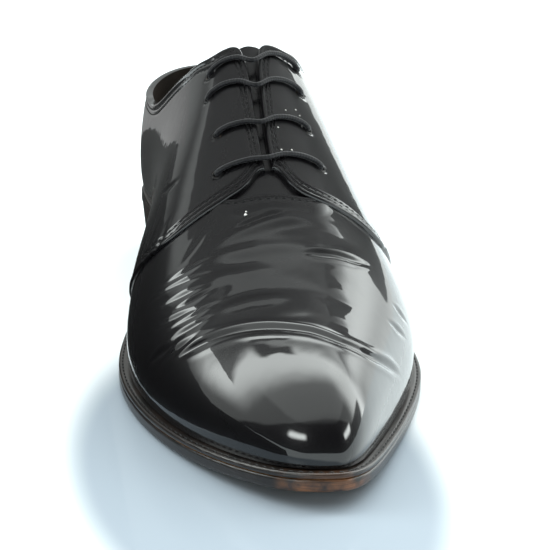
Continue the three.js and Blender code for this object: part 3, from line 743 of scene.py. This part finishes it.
# Quarters: places are s from the heel in mm and up, the share of the way from feather line to ridge;
# -1 stands for the inner side and 1 for the outer one.
quarter = {
    "thick": 1.0, "bead": 0.35, "beadIn": 1.0, "beadWidth": 0.9, "backRoll": 0.5, "tuck": (-1.0, 4.0),
    "topMean": (24, 9.0), "wall": 1.6, "edgeRoll": 0.8, "columns": 333, "rows": 117,
    "length": 210.0, "height": 75.0, "fineZone": (5.8, 20), "under": 0.03,
    "stitchIn": (2.5, 4.6), "grooveDepth": 0.30, "grooveWidth": 0.5,
    "frontUp": (0.00, 0.20, 0.45, 0.65, 0.82, 0.92, 0.975),
    "frontFrom": {-1: (153.0, 176.0, 197.5, 202.5, 202.0, 198.3, 195.0),
                  1: (150.0, 173.0, 195.2, 201.0, 203.2, 199.2, 194.6)},
    "slotFrom": (194.6, 176.0, 150.0, 140.0), "slotHalf": (1.0, 1.2, 1.7, 3.4),
}
collar = {
    "at": (0.000, 0.049, 0.098, 0.147, 0.196, 0.245, 0.294, 0.343, 0.386, 0.418, 0.441, 0.456),
    "rise": {-1: (0.578, 0.529, 0.489, 0.466, 0.456, 0.485, 0.561, 0.668, 0.779, 0.872, 0.942, 1.000),
             1: (0.578, 0.527, 0.484, 0.460, 0.451, 0.490, 0.580, 0.697, 0.813, 0.897, 0.957, 1.006)},
    "facingTop": 139.4,
}

# Lace: straight bars over the facings. Eyelets as (s, up) on each side, and the slot's crossing.
lace = {
    "radius": 1.08, "flat": 0.85, "lift": 0.5, "sides": 16, "steps": 110, "inHole": (-1.9, -0.6, 0.5),
    "turnAt": (0.03, 0.97, 0.92), "overAt": (0.16, 0.40, 0.70), "overLift": 0.25,
    "eyelets": {-1: ((141.5, 0.750), (153.0, 0.740), (174.0, 0.785), (190.5, 0.775)),
                1: ((136.5, 0.730), (151.5, 0.745), (169.5, 0.750), (185.5, 0.730))},
    "middle": (149.5, 161.1, 176.7, 191.4),
}
eyelet = {
    "hole": 1.35, "pit": 1.9, "depth": 1.7, "sides": 24,
    "profile": ((0.0, -1.25), (1.30, -1.25), (1.36, -0.30), (1.50, 0.06), (1.80, 0.16), (2.10, 0.08),
                (2.25, -0.12), (2.25, -1.45), (0.0, -1.45)),
}


def eyeletPlaces(side):
    return [(alongToU(np.array(s)), side * (1 - up)) for s, up in lace["eyelets"][side]]


def bisect(isBelow, low, high, steps=40):
    # The last place between low and high where isBelow still holds.
    for _ in range(steps):
        middle = (low + high) / 2
        below = isBelow(middle)
        low, high = np.where(below, middle, low), np.where(below, high, middle)
    return low


def collarUp(along, side):
    # up of the collar's edge at each place along the shoe.
    turn = (last["heelAxis"] - along) / last["heelArc"] * math.pi / 2
    s = np.where(along >= last["heelAxis"], along, last["heelAxis"] - last["heelCurve"] * np.sin(turn))
    curve = cubicThrough(collar["at"], collar["rise"][side])
    share = np.clip(curve(np.clip(s / last["soleLength"], 0, collar["at"][-1])), 0, 1)
    root = math.sqrt(last["heelShare"]) * np.minimum(alongToU(along), 1)
    belly = curves["belly"](root)
    return bisect(lambda up: bezier(0, belly, 1, 1, up) < share, np.zeros_like(share), np.ones_like(share))


def slotUp(along, side):
    # up of the facing's edge, half a slot's width from the ridge.
    half = np.interp(-along, -np.array(quarter["slotFrom"]), quarter["slotHalf"])
    u = alongToU(along)
    ridge = lastPoint(u, np.zeros_like(u))
    apart = lambda up: np.linalg.norm(lastPoint(u, side * (1 - up)) - ridge, axis=-1)
    return bisect(lambda up: apart(up) > half, np.full_like(along, 0.7), np.ones_like(along))


def spread(count, length, roll, fine=0.0, fineSteps=0):
    # Shares of the way along a length: close steps over the rolled edge, then a fine zone for stitches.
    first = np.array([0.0, 0.04, 0.12, 0.25, 0.45, 0.72, 1.0]) * roll
    zone = np.linspace(roll, fine, fineSteps + 1)[1:] if fineSteps else np.array([])
    start = np.concatenate([first, zone]) / length
    return np.concatenate([start, np.linspace(start[-1], 1, count - len(start) + 1)[1:]])


def evenAlong(path, shares):
    # Points at shares of a polyline's length, which is measured on the last.
    length = runLength(path["points"])
    return [np.interp(shares * length[-1], length, path[name]) for name in ("along", "up")]


def measured(along, up, side):
    return {"along": along, "up": up, "points": lastPoint(alongToU(along), side * (1 - up))}


def patch(front, back, low, top, t, r):
    # Between four edges, the sum of the two blends between facing edges less the corners' blend.
    t, r = t[:, None], r[None, :]
    corners = (1 - t) * ((1 - r) * front[0] + r * front[-1]) + t * ((1 - r) * back[0] + r * back[-1])
    return (1 - t) * front + t * back + (1 - r) * low[:, None] + r * top[:, None] - corners


def quarterPlace(side):
    # A patch between the front edge, the top edge (slot, facing top and collar), the back seam and the
    # feather line.
    frontFrom = quarter["frontFrom"][side]
    upFine = np.linspace(0, quarter["frontUp"][-1], 200)
    frontFine = cubicThrough(quarter["frontUp"], frontFrom)(upFine)
    alongFine = np.linspace(frontFrom[-1], last["heelAxis"] - last["heelArc"], 900)
    upSlot = slotUp(alongFine, side)
    upFine[-1] = upSlot[0]
    upCollar = np.where(alongFine < collar["facingTop"], collarUp(alongFine, side), 1.0)
    topFine = np.minimum(upSlot, upCollar)
    topFine = evened(topFine, gaussian(*quarter["topMean"]))
    topFine[0] = upSlot[0]
    t = spread(quarter["columns"], quarter["length"], quarter["edgeRoll"], *quarter["fineZone"])
    r = 1 - spread(quarter["rows"], quarter["height"], quarter["edgeRoll"], *quarter["fineZone"])[::-1]
    topAlong, topUp = evenAlong(measured(alongFine, topFine, side), t)
    frontAlong, frontUp = evenAlong(measured(frontFine, upFine, side), r)
    lowAlong = frontFine[0] + (alongFine[-1] - frontFine[0]) * t
    return (patch(frontAlong, np.full_like(r, alongFine[-1]), lowAlong, topAlong, t, r),
            patch(frontUp, topFine[-1] * r, np.zeros_like(t), topUp, t, r))


def quarterSurface(side):
    # Height over the last: a rolled, beaded edge, two stitch grooves and a pit at each eyelet.
    along, up = quarterPlace(side)
    u, across = alongToU(along), side * (1 - up)
    base, normals = skin(u, across, 0.0), gridNormals(u, across)
    toFront, toTop = lengthFrom(base, 0), lengthFrom(base, 1, True)
    edge = np.minimum(toFront, toTop)
    rearLine = np.interp(up, vamp["rearUp"], vamp["rearFrom"])
    tucked = smooth(rearLine - along, *quarter["tuck"])
    under = quarter["under"] - (quarter["wall"] + quarter["under"]) * tucked
    roll = rolled(edge, quarter["edgeRoll"]) * rolled(lengthFrom(base, 0, True), quarter["backRoll"])
    beadAt = quarter["bead"] * np.exp(-((edge - quarter["beadIn"]) / quarter["beadWidth"]) ** 2)
    grooves = sum(groove(edge, at, quarter) for at in quarter["stitchIn"])
    out = under + (quarter["thick"] + beadAt - under) * roll - grooves
    out = out + wrinkleRelief(base, quarterCreases[side])
    for place in eyeletPlaces(side):
        apart = np.linalg.norm(base - skin(*place, 0.0), axis=-1)
        out = out - eyelet["depth"] * (1 - smooth(apart, eyelet["hole"] + 0.1, eyelet["pit"] + 0.3))
    return {"outside": base + normals * out[..., None], "inside": base + normals * under[..., None],
            "normals": normals, "toFront": toFront, "toTop": toTop}


def stitchRows(surface):
    # Along each groove, in front and on top, clear of the corner between them.
    rows = []
    for at in quarter["stitchIn"]:
        for key, other, turned in (("toFront", "toTop", False), ("toTop", "toFront", True)):
            swap = (lambda grid: np.flip(grid, 1).swapaxes(0, 1)) if turned else (lambda grid: grid)
            distance = swap(surface[key])
            path = lineAt(swap(surface["outside"]), distance, at)
            normals = lineAt(swap(surface["normals"]), distance, at)
            fromOther = lineAt(swap(surface[other])[..., None], distance, at)[:, 0]
            isKept = fromOther > at + 0.4
            if turned:
                isKept &= np.arange(len(path)) < len(path) - 3
            rows.append((path[isKept], normals[isKept]))
    return rows


def makeQuarter(side, surface):
    outside, inside = surface["outside"], surface["inside"]
    if side > 0:
        outside, inside = outside[:, ::-1], inside[:, ::-1]
    name = "innerQuarter" if side < 0 else "outerQuarter"
    return makePanel(name, outside, inside, "patent_leather", "upper")


def perch(u, across, out):
    # A place over the last with its directions: aside, ahead and up from the leather.
    foot, up = skin(u, across, out), gridNormals(u, across)
    aside = unit(np.cross(up, (0, 1.0, 0)))
    return foot, aside, np.cross(aside, up), up


def addTurned(name, grids, material):
    # Small turned shapes as one piece; each is a grid of points, ring by ring.
    rows, columns = grids[0].shape[:2]
    faces = [gridFaces(rows, columns, i * rows * columns, isRing=True) for i in range(len(grids))]
    piece = addMesh(name, np.concatenate(grids), [np.concatenate(faces)], material)
    return rideRoot(piece, "patent_leather", "upper")


def makeEyelets():
    # A turned profile, (radius, height) in mm, at each hole.
    radius, height = np.array(eyelet["profile"]).T[..., None, None]
    turns = np.linspace(0, 2 * math.pi, eyelet["sides"], endpoint=False)[:, None]
    grids = []
    for u, across in eyeletPlaces(-1) + eyeletPlaces(1):
        foot, aside, ahead, up = perch(u, across, quarter["thick"])
        grids.append(foot + radius * (aside * np.cos(turns) + ahead * np.sin(turns)) + height * up)
    return addTurned("eyelets", grids, finishes["eyelet"])


# White specks lying on the lacquer, as (mm from the heel, across, height over the last, radius) in mm.
whiteSpecks = ((210.8, -0.132, 0.0, 0.55), (209.6, -0.128, 0.0, 0.35), (186.5, 0.080, 1.0, 0.40),
        (185.2, 0.131, 1.0, 0.40), (177.0, 0.085, 1.0, 0.30), (167.6, 0.142, 1.0, 0.32),
        (164.1, 0.200, 1.0, 0.36), (169.0, 0.160, 1.0, 0.28), (165.6, 0.217, 1.0, 0.32))


speck = {"rings": 9, "sides": 12, "uneven": 0.25, "lobes": 3, "raise": 0.3, "long": 0.8, "high": 0.55}


def makeWhiteSpecks():
    # Each speck is a small round lump, flattened on the leather and a little uneven.
    rise = np.linspace(-math.pi / 2, math.pi / 2, speck["rings"])[:, None]
    turns = np.linspace(0, 2 * math.pi, speck["sides"], endpoint=False)
    ball = np.stack(np.broadcast_arrays(np.cos(rise) * np.cos(turns), np.cos(rise) * np.sin(turns),
                                        np.sin(rise)), -1)
    ball = ball * (1 + speck["uneven"] * np.sin(speck["lobes"] * turns) * np.cos(rise))[..., None]
    grids = []
    for s, across, height, radius in whiteSpecks:
        foot, aside, ahead, up = perch(alongToU(np.array(s)), across, height + speck["raise"] * radius)
        grids.append(foot + radius * ball @ np.stack([aside, -speck["long"] * ahead, speck["high"] * up]))
    return addTurned("whiteSpecks", grids, finishes["whiteSpecks"])


vampOutside, vampInside, throatRow = vampSurface()
makePanel("vamp", vampOutside, vampInside, "patent_leather", "upper")
surfaces = {side: quarterSurface(side) for side in (-1, 1)}
for side, surface in surfaces.items():
    makeQuarter(side, surface)
rideRoot(stitches("throatStitches", [throatRow], finishes["thread"]), "waxed_cotton", "upper")
rideRoot(stitches("quarterStitches", [row for surface in surfaces.values() for row in stitchRows(surface)],
                  finishes["thread"]), "waxed_cotton", "upper")
makeEyelets()
makeWhiteSpecks()
print("vamp, quarters, stitches and eyelets made")


# Tongue: from under the vamp's throat to just below the facings' top.
tongue = {"front": 211.0, "back": 136.0, "width": 54.0, "thick": 1.8, "sink": 2.2, "edgeRoll": 0.9,
          "riseSpan": (186, 198), "riseTo": 0.9, "rows": 117, "sideSteps": 21, "reach": 0.75,
          "fineSteps": 301}


def makeTongue():
    length, half = tongue["front"] - tongue["back"], tongue["width"] / 2
    along = tongue["back"] + length * spread(tongue["rows"], length, tongue["edgeRoll"])
    edge = spread(tongue["sideSteps"], half, tongue["edgeRoll"])
    shares = np.concatenate([edge[:-1] - 1, 1 - edge[::-1]])
    u = alongToU(along)[:, None]
    fine = np.linspace(-tongue["reach"], tongue["reach"], tongue["fineSteps"])
    sideways = lastPoint(u, np.broadcast_to(fine, (len(along), len(fine))))[..., 0]
    width = sideways - sideways[:, len(fine) // 2, None]
    across = np.stack([np.interp(shares * half, row, fine) for row in width])
    base = skin(u, across, 0.0)
    toSide = np.minimum(lengthFrom(base, 1), lengthFrom(base, 1, True))
    risen = smooth(along, *tongue["riseSpan"])[:, None]
    sunk = -tongue["sink"] + (tongue["sink"] - tongue["riseTo"]) * risen
    roll = rolled(np.minimum(toSide, lengthFrom(base, 0)), tongue["edgeRoll"])
    outside = skin(u, across, sunk - tongue["thick"] * (1 - roll) / 2)
    inside = skin(u, across, sunk - tongue["thick"] + tongue["thick"] * (1 - roll) / 2)
    return makePanel("shoeTongue", outside[::-1], inside[::-1], "tongue_leather", "tongue")


def makeLaceBar(index):
    # Up through one eyelet, over both facings with a little lift at the slot, and down the other.
    middle, half = lace["middle"][index], []
    clear = quarter["thick"] + lace["radius"] * lace["flat"]
    for side, eyelets in lace["eyelets"].items():
        s, up = eyelets[index]
        across = side * (1 - up)
        (ahead, inwards, low), lift = lace["turnAt"], clear + lace["overLift"]
        steps = [(0.0, across, out) for out in lace["inHole"]] + [(ahead, across * inwards, clear * low)]
        steps += [(k ** 1.5, across * (1 - k), lift) for k in lace["overAt"]]
        half.append([skin(alongToU(np.array(s + (middle - s) * share)), *place) for share, *place in steps])
    bow = skin(alongToU(np.array(middle)), 0.0, clear + lace["lift"])
    path = smoothPath(np.array([*half[0], bow, *half[1][::-1]]), lace["steps"])
    piece = tube(f"laceBar{index + 1}", path, lace["radius"], finishes["lace"], lace["sides"], lace["flat"],
                 upward=(0.0, 0.45, 0.9))
    return rideRoot(piece, "waxed_cotton", f"lace_bar_{index + 1}")


makeTongue()
for index in range(4):
    makeLaceBar(index)
print("tongue and lace made")


# Welt, outsole, heel and insole. Profiles are (inset from the piece's outer edge, height) in mm.
sole = {
    "tipSteps": 240, "backSteps": 70, "crowd": 1.15, "toeSteps": 300, "breast": 0.196, "wall": 1.6,
    "outsoleProfile": ((1.6, 0.0), (0.9, 0.12), (0.35, 0.45), (0.08, 0.95), (0.0, 1.7), (0.05, 2.6),
                       (0.0, 3.4), (0.10, 3.95), (0.45, 4.3)),
    "weltProfile": ((0.35, 0.0), (0.08, 0.18), (0.0, 0.55), (0.02, 1.15), (0.18, 1.55), (0.50, 1.80),
                    (1.0, 1.88), (1.45, 1.70), (1.9, 1.86), (2.6, 1.90)),
    "stitchInset": 1.45, "stitchDrop": 0.12,
    "insoleProfile": ((0.6, 0.0), (0.1, 0.4), (0.0, 1.4), (0.1, 2.7), (0.6, 3.2)),
    "insoleInset": 2.2,
}
heel = {
    "liftThick": 5.2, "lifts": 3, "inset": 0.4, "taper": 2.6, "hollow": 2.5, "edge": 0.28,
    "breastSteps": 29,
}


def outlineSteps():
    # Steps of u, closer together at the toe.
    toAxis = np.linspace(0, 1, sole["tipSteps"]) ** (1 / sole["crowd"])
    return np.concatenate([toAxis, np.linspace(1, 2, sole["backSteps"])[1:]])


def thereAndBack(us, sign):
    # A path along one side of the feather line and back along the other, as places and signs.
    signs = sign * np.concatenate([np.ones(len(us)), -np.ones(len(us) - 1)])
    return np.concatenate([us, us[::-1][1:]]), signs


def closeAcross(count, steps, start):
    # Quads between the two sides of a level ring of 2 * steps - 2 points.
    i = np.arange(steps - 1)
    return np.stack([i, i + 1, (count - i - 1) % count, (count - i) % count], -1) + start


def makeLayer(name, levels, outline, material, edgeSlot=0):
    # A flat layer: rings at several heights, closed across from side to side above and below.
    us, signs = (part[:-1] for part in thereAndBack(outlineSteps(), -1))
    rings = [rim(us, signs, outline(us, signs) - inset, height) for inset, height in levels]
    count = len(us)
    below = closeAcross(count, count // 2 + 1, 0)
    above = closeAcross(count, count // 2 + 1, (len(rings) - 1) * count)
    side = gridFaces(len(rings), count, isRing=True)[:, ::-1]
    slots = np.concatenate([np.full(len(side), edgeSlot), np.zeros(2 * len(below))])
    faces = [side, below, above[:, ::-1]]
    return addMesh(name, np.concatenate(rings), faces, material, slots, sharpFrom=60.0)


def overWelt(path, inset, height):
    # The path moved to an inset from the sole's edge and a height over the outsole.
    return rim(*path, shelfAt(*path) - inset, last["weltBase"] + height)


def makeStrip(name, path, material):
    # A strip round the feather line: the profile, closed through the upper's wall, carried along it.
    points = [overWelt(path, inset, height) for inset, height in sole["weltProfile"]]
    points += [rim(*path, -sole["wall"], last["weltBase"] + height) for height in (last["welt"], 0.0)]
    grid = np.stack(points, 1)
    faces = [part[:, ::-1] for part in tubeFaces(*grid.shape[:2])]
    return addMesh(name, grid, faces, material, sharpFrom=60.0)


def breastAt(offset=0.0):
    return float(alongToU(np.array(sole["breast"] * last["soleLength"] + offset)))


def heelSteps(offset, beforeAxis, behindAxis):
    return np.concatenate([np.linspace(breastAt(offset), 1, beforeAxis), np.linspace(1, 2, behindAxis)[1:]])


def roundToe():
    crowd = sole["crowd"]
    return thereAndBack(np.linspace(0, breastAt() ** crowd, sole["toeSteps"])[::-1] ** (1 / crowd), -1)


def roundHeel():
    return thereAndBack(heelSteps(-last["gap"], 20, 90), 1)


def weltStitchRow():
    path = overWelt(roundToe(), sole["stitchInset"], last["welt"] - sole["stitchDrop"])
    return path, np.broadcast_to((0.0, 0.0, 1.0), path.shape)


def makeHeelLayer(name, low, high, material):
    # One layer of the stacked heel: it narrows downwards, its breast is a shallow parabola, and its
    # edges are eased so that the layers' joints show as fine lines.
    path = thereAndBack(heelSteps(0.0, 18, 60), -1)
    t = np.linspace(0, 1, heel["breastSteps"] + 1)[1:-1, None]
    ease = heel["edge"]
    rings = []
    for height, inset in ((low, ease), (low + ease, 0.0), (high - ease, 0.0), (high, ease)):
        narrow = heel["inset"] + heel["taper"] * (1 - height / last["heelHeight"]) + inset
        back = rim(*path, shelfAt(*path) - narrow, 0.0)
        breast = back[-1] * (1 - t) + back[0] * t
        breast[:, 1] += (heel["hollow"] * 4 * t * (1 - t))[:, 0] + inset
        ring = np.concatenate([back, breast])
        ring[:, 2] = height
        rings.append(ring)
    side, caps = tubeFaces(len(rings), len(rings[0]))
    return addMesh(name, np.concatenate(rings), [side[:, ::-1], caps], material, sharpFrom=60.0)


rideRoot(makeLayer("leatherOutsole", sole["outsoleProfile"], shelfAt,
                   [finishes["sole"], finishes["edge"]], edgeSlot=1), "sole_leather", "outsole")
insoleLevels = [(inset, last["weltBase"] + height) for inset, height in sole["insoleProfile"]]
rideRoot(makeLayer("sockAndInsole", insoleLevels, lambda u, sign: -sole["insoleInset"], finishes["sock"]),
         "insole_leather", "insole")
rideRoot(makeStrip("stormWelt", roundToe(), finishes["edge"]), "edge_ink", "welt")
rideRoot(makeStrip("heelSeatRand", roundHeel(), finishes["edge"]), "edge_ink", "heel_rand")
rideRoot(stitches("weltStitches", [weltStitchRow()], finishes["thread"], length=2.4, pitch=3.1, radius=0.3),
         "waxed_cotton", "welt")
topPieceThick = last["heelHeight"] - heel["lifts"] * (heel["liftThick"] + last["gap"]) - last["gap"]
rideRoot(makeHeelLayer("rubberTopPiece", 0.0, topPieceThick, finishes["rubber"]),
         "heel_rubber", "heel_top_piece")
for index in range(heel["lifts"]):
    low = topPieceThick + last["gap"] + index * (heel["liftThick"] + last["gap"])
    rideRoot(makeHeelLayer(f"leatherLift{index + 1}", low, low + heel["liftThick"], finishes["edge"]),
             "edge_ink", f"heel_lift_{index + 1}")
print("sole and heel made")


# Studio: light by direction, in panels like softboxes far away. x, y and z are the direction's own
# parts, -1 to 1: x grows to the shoe's outer side, y to its heel and z upwards; lean is half way between
# y and z. A panel is its radiance and, for each part, (low end, high end, softness of the ends); an end
# beyond 1 is open, and a later panel lies over an earlier one. A card is its glow and four corners in mm.
studio = {
    "tint": "#f4faf8", "floor": "#e4e9ec", "floorMirror": 0.04, "floorBlur": 0.10, "floorHalf": 4000.0,
    "dusk": 0.05, "seen": 1.2, "card": "#060606",
    # A grey-blue patch painted into the floor's colour round the shoe: painted contact shadow and painted
    # reflection.
    "image": {"middle": (-0.020, -0.235, 0.0), "reach": (0.060, 0.110, 1.0), "edge": (0.86, 1.14),
              "color": "#949ea8"},
    "panels": (
        # Softbox: its dim end, its middle and its bright end.
        (1.0, {"z": (-0.06, 1.2, 0.03), "lean": (0.09, 1.2, 0.03)}),
        (1.7, {"z": (0.66, 1.2, 0.03), "lean": (0.09, 1.2, 0.16)}),
        (8.5, {"y": (0.16, 1.2, 0.16), "z": (0.30, 1.2, 0.16)}),
        # Window wall on the outer side.
        (6.5, {"x": (0.62, 1.2, 0.20), "y": (0.05, 1.2, 0.20), "z": (-0.30, 1.2, 0.20)}),
        # The room behind; its wall, on the outer side and behind the heel; its ceiling, all of it and
        # the part on the outer side.
        (0.05, {"y": (0.46, 1.2, 0.09)}),
        (2.0, {"x": (0.10, 1.2, 0.10), "y": (0.46, 1.2, 0.10), "z": (-1.2, 0.40, 0.10)}),
        (0.4, {"x": (-0.55, 0.30, 0.12), "y": (0.80, 1.2, 0.12), "z": (-0.10, 0.45, 0.12)}),
        (0.9, {"x": (-0.70, 1.2, 0.06), "y": (0.46, 1.2, 0.09), "z": (0.34, 1.2, 0.09)}),
        (4.5, {"x": (0.44, 1.2, 0.24), "y": (0.46, 1.2, 0.09), "z": (0.24, 1.2, 0.14)}),
        # The camera's own dark shape, a dark stand, and a lamp on either side of the toe.
        (0.1, {"x": (-0.46, -0.08, 0.05), "y": (0.385, 0.45, 0.012), "z": (0.5, 1.2, 0.05)}),
        (0.15, {"x": (0.86, 1.2, 0.03), "y": (-0.30, 0.32, 0.03), "z": (-0.28, 0.26, 0.03)}),
        (14.0, {"x": (-0.78, -0.44, 0.05), "y": (-0.88, -0.52, 0.05), "z": (0.34, 0.46, 0.05)}),
        (14.0, {"x": (0.64, 0.96, 0.05), "y": (-0.60, -0.24, 0.05), "z": (0.24, 0.36, 0.05)}),
    ),
    "cards": (
        (0.0, (-63, -300, 0.5), (-63, -222, 0.5), (-76, -222, 24), (-72, -300, 12)),
        (0.0, (-63, -222, 0.5), (-63, -150, 0.5), (-92, -150, 62), (-76, -222, 24)),
        (0.0, (-63, -150, 0.5), (-36, 10, 0.5), (-98, 10, 80), (-92, -150, 62)),
        (0.0, (-36, 10, 0.5), (0, 86, 0.5), (-98, 86, 80), (-98, 10, 80)),
        (0.28, (0, 86, 0.5), (0, 420, 0.5), (-130, 420, 106), (-130, 86, 106)),
        (0.0, (230, -20, 60), (230, 150, 60), (230, 150, 330), (230, -20, 330)),
        (0.12, (-112, -225, 70), (110, -225, 70), (110, 60, 190), (-112, 60, 190)),
    ),
    # The last card fades out: shares of it come in along y (from, to, share), and all of it ends along x.
    "fadeIn": ((-179, -166, 0.1), (-216, -206, 0.9)), "fadeOut": (35, 105),
}


def makeWorld():
    world = bpy.data.worlds.new("studio")
    world.use_nodes = True
    tree = world.node_tree
    x, y, z = partsOf(tree, "Generated")
    directions = {"x": x, "y": y, "z": z,
                  "lean": mathNode(tree, "MULTIPLY", mathNode(tree, "ADD", y, z), math.sqrt(0.5))}
    color = (*[studio["dusk"]] * 3, 1.0)
    for radiance, spans in studio["panels"]:
        ends = [(directions[axis], end, way * soft) for axis, (low, high, soft) in spans.items()
                for end, way in ((low, 1), (high, -1)) if abs(end) <= 1]
        mask = productNode(tree, *(mapNode(tree, part, end - soft, end + soft) for part, end, soft in ends))
        color = mixNode(tree, mask, color, (*[radiance * part for part in linear(studio["tint"])[:3]], 1.0))
    seen = addNode(tree, "LightPath").outputs["Is Camera Ray"]
    white = addNode(tree, "Background", Color=(1.0, 1.0, 1.0, 1.0), Strength=studio["seen"])
    mixSurface(tree, "World Output", seen, plug(tree, tree.nodes["Background"], Color=color), white)
    bpy.context.scene.world = world
    bpy.context.scene.view_settings.view_transform = "Standard"


def addCard(name, corners, material):
    return addMesh(name, corners, [[(0, 1, 2, 3)]], material)


def makeFloor():
    # A white glossy floor. Round the shoe a soft grey-blue patch is painted into its colour, cooler and
    # darker than the white: a painted contact shadow and a painted reflection of the shoe.
    half, image = studio["floorHalf"], studio["image"]
    material, tree, shader = newMaterial("white floor", Specular_IOR_Level=0.0)
    mixSurface(tree, "Material Output", studio["floorMirror"], shader,
               addNode(tree, "BsdfGlossy", Roughness=studio["floorBlur"]))
    spot = addNode(tree, "Mapping", properties={"vector_type": "TEXTURE"}, Vector=coordinates(tree),
                   Location=image["middle"], Scale=image["reach"]).outputs["Vector"]
    apart = addNode(tree, "VectorMath", spot, properties={"operation": "LENGTH"}).outputs["Value"]
    plug(tree, shader, Base_Color=mixNode(tree, mapNode(tree, apart, *image["edge"]), linear(image["color"]),
                                          linear(studio["floor"])))
    corners = [(-half, -half, 0), (half, -half, 0), (half, half, 0), (-half, half, 0)]
    return addCard("floor", corners, material)


def makeCards():
    # Dark cards that the camera doesn't see but the lacquer does.
    cards = []
    for number, (glow, *corners) in enumerate(studio["cards"], 1):
        paper, tree, shader = newMaterial(f"card {number}", Base_Color=linear(studio["card"]), Roughness=0.9,
                                          Emission_Color=(1.0, 1.0, 1.0, 1.0), Emission_Strength=glow)
        cards.append(addCard(f"card{number}", corners, paper))
        for ray in ("camera", "shadow", "diffuse"):
            setattr(cards[-1], f"visible_{ray}", False)
    x, y, _ = partsOf(tree)
    shares = [mapNode(tree, y, low * toMetres, high * toMetres, 0.0, share)
              for low, high, share in studio["fadeIn"]]
    outwards = mapNode(tree, x, *(end * toMetres for end in studio["fadeOut"]), 1.0, 0.0)
    share = mathNode(tree, "MULTIPLY", mathNode(tree, "ADD", *shares), outwards)
    mixSurface(tree, "Material Output", share, addNode(tree, "BsdfTransparent"), shader)
    return cards


makeWorld()
makeFloor()
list(makeCards())
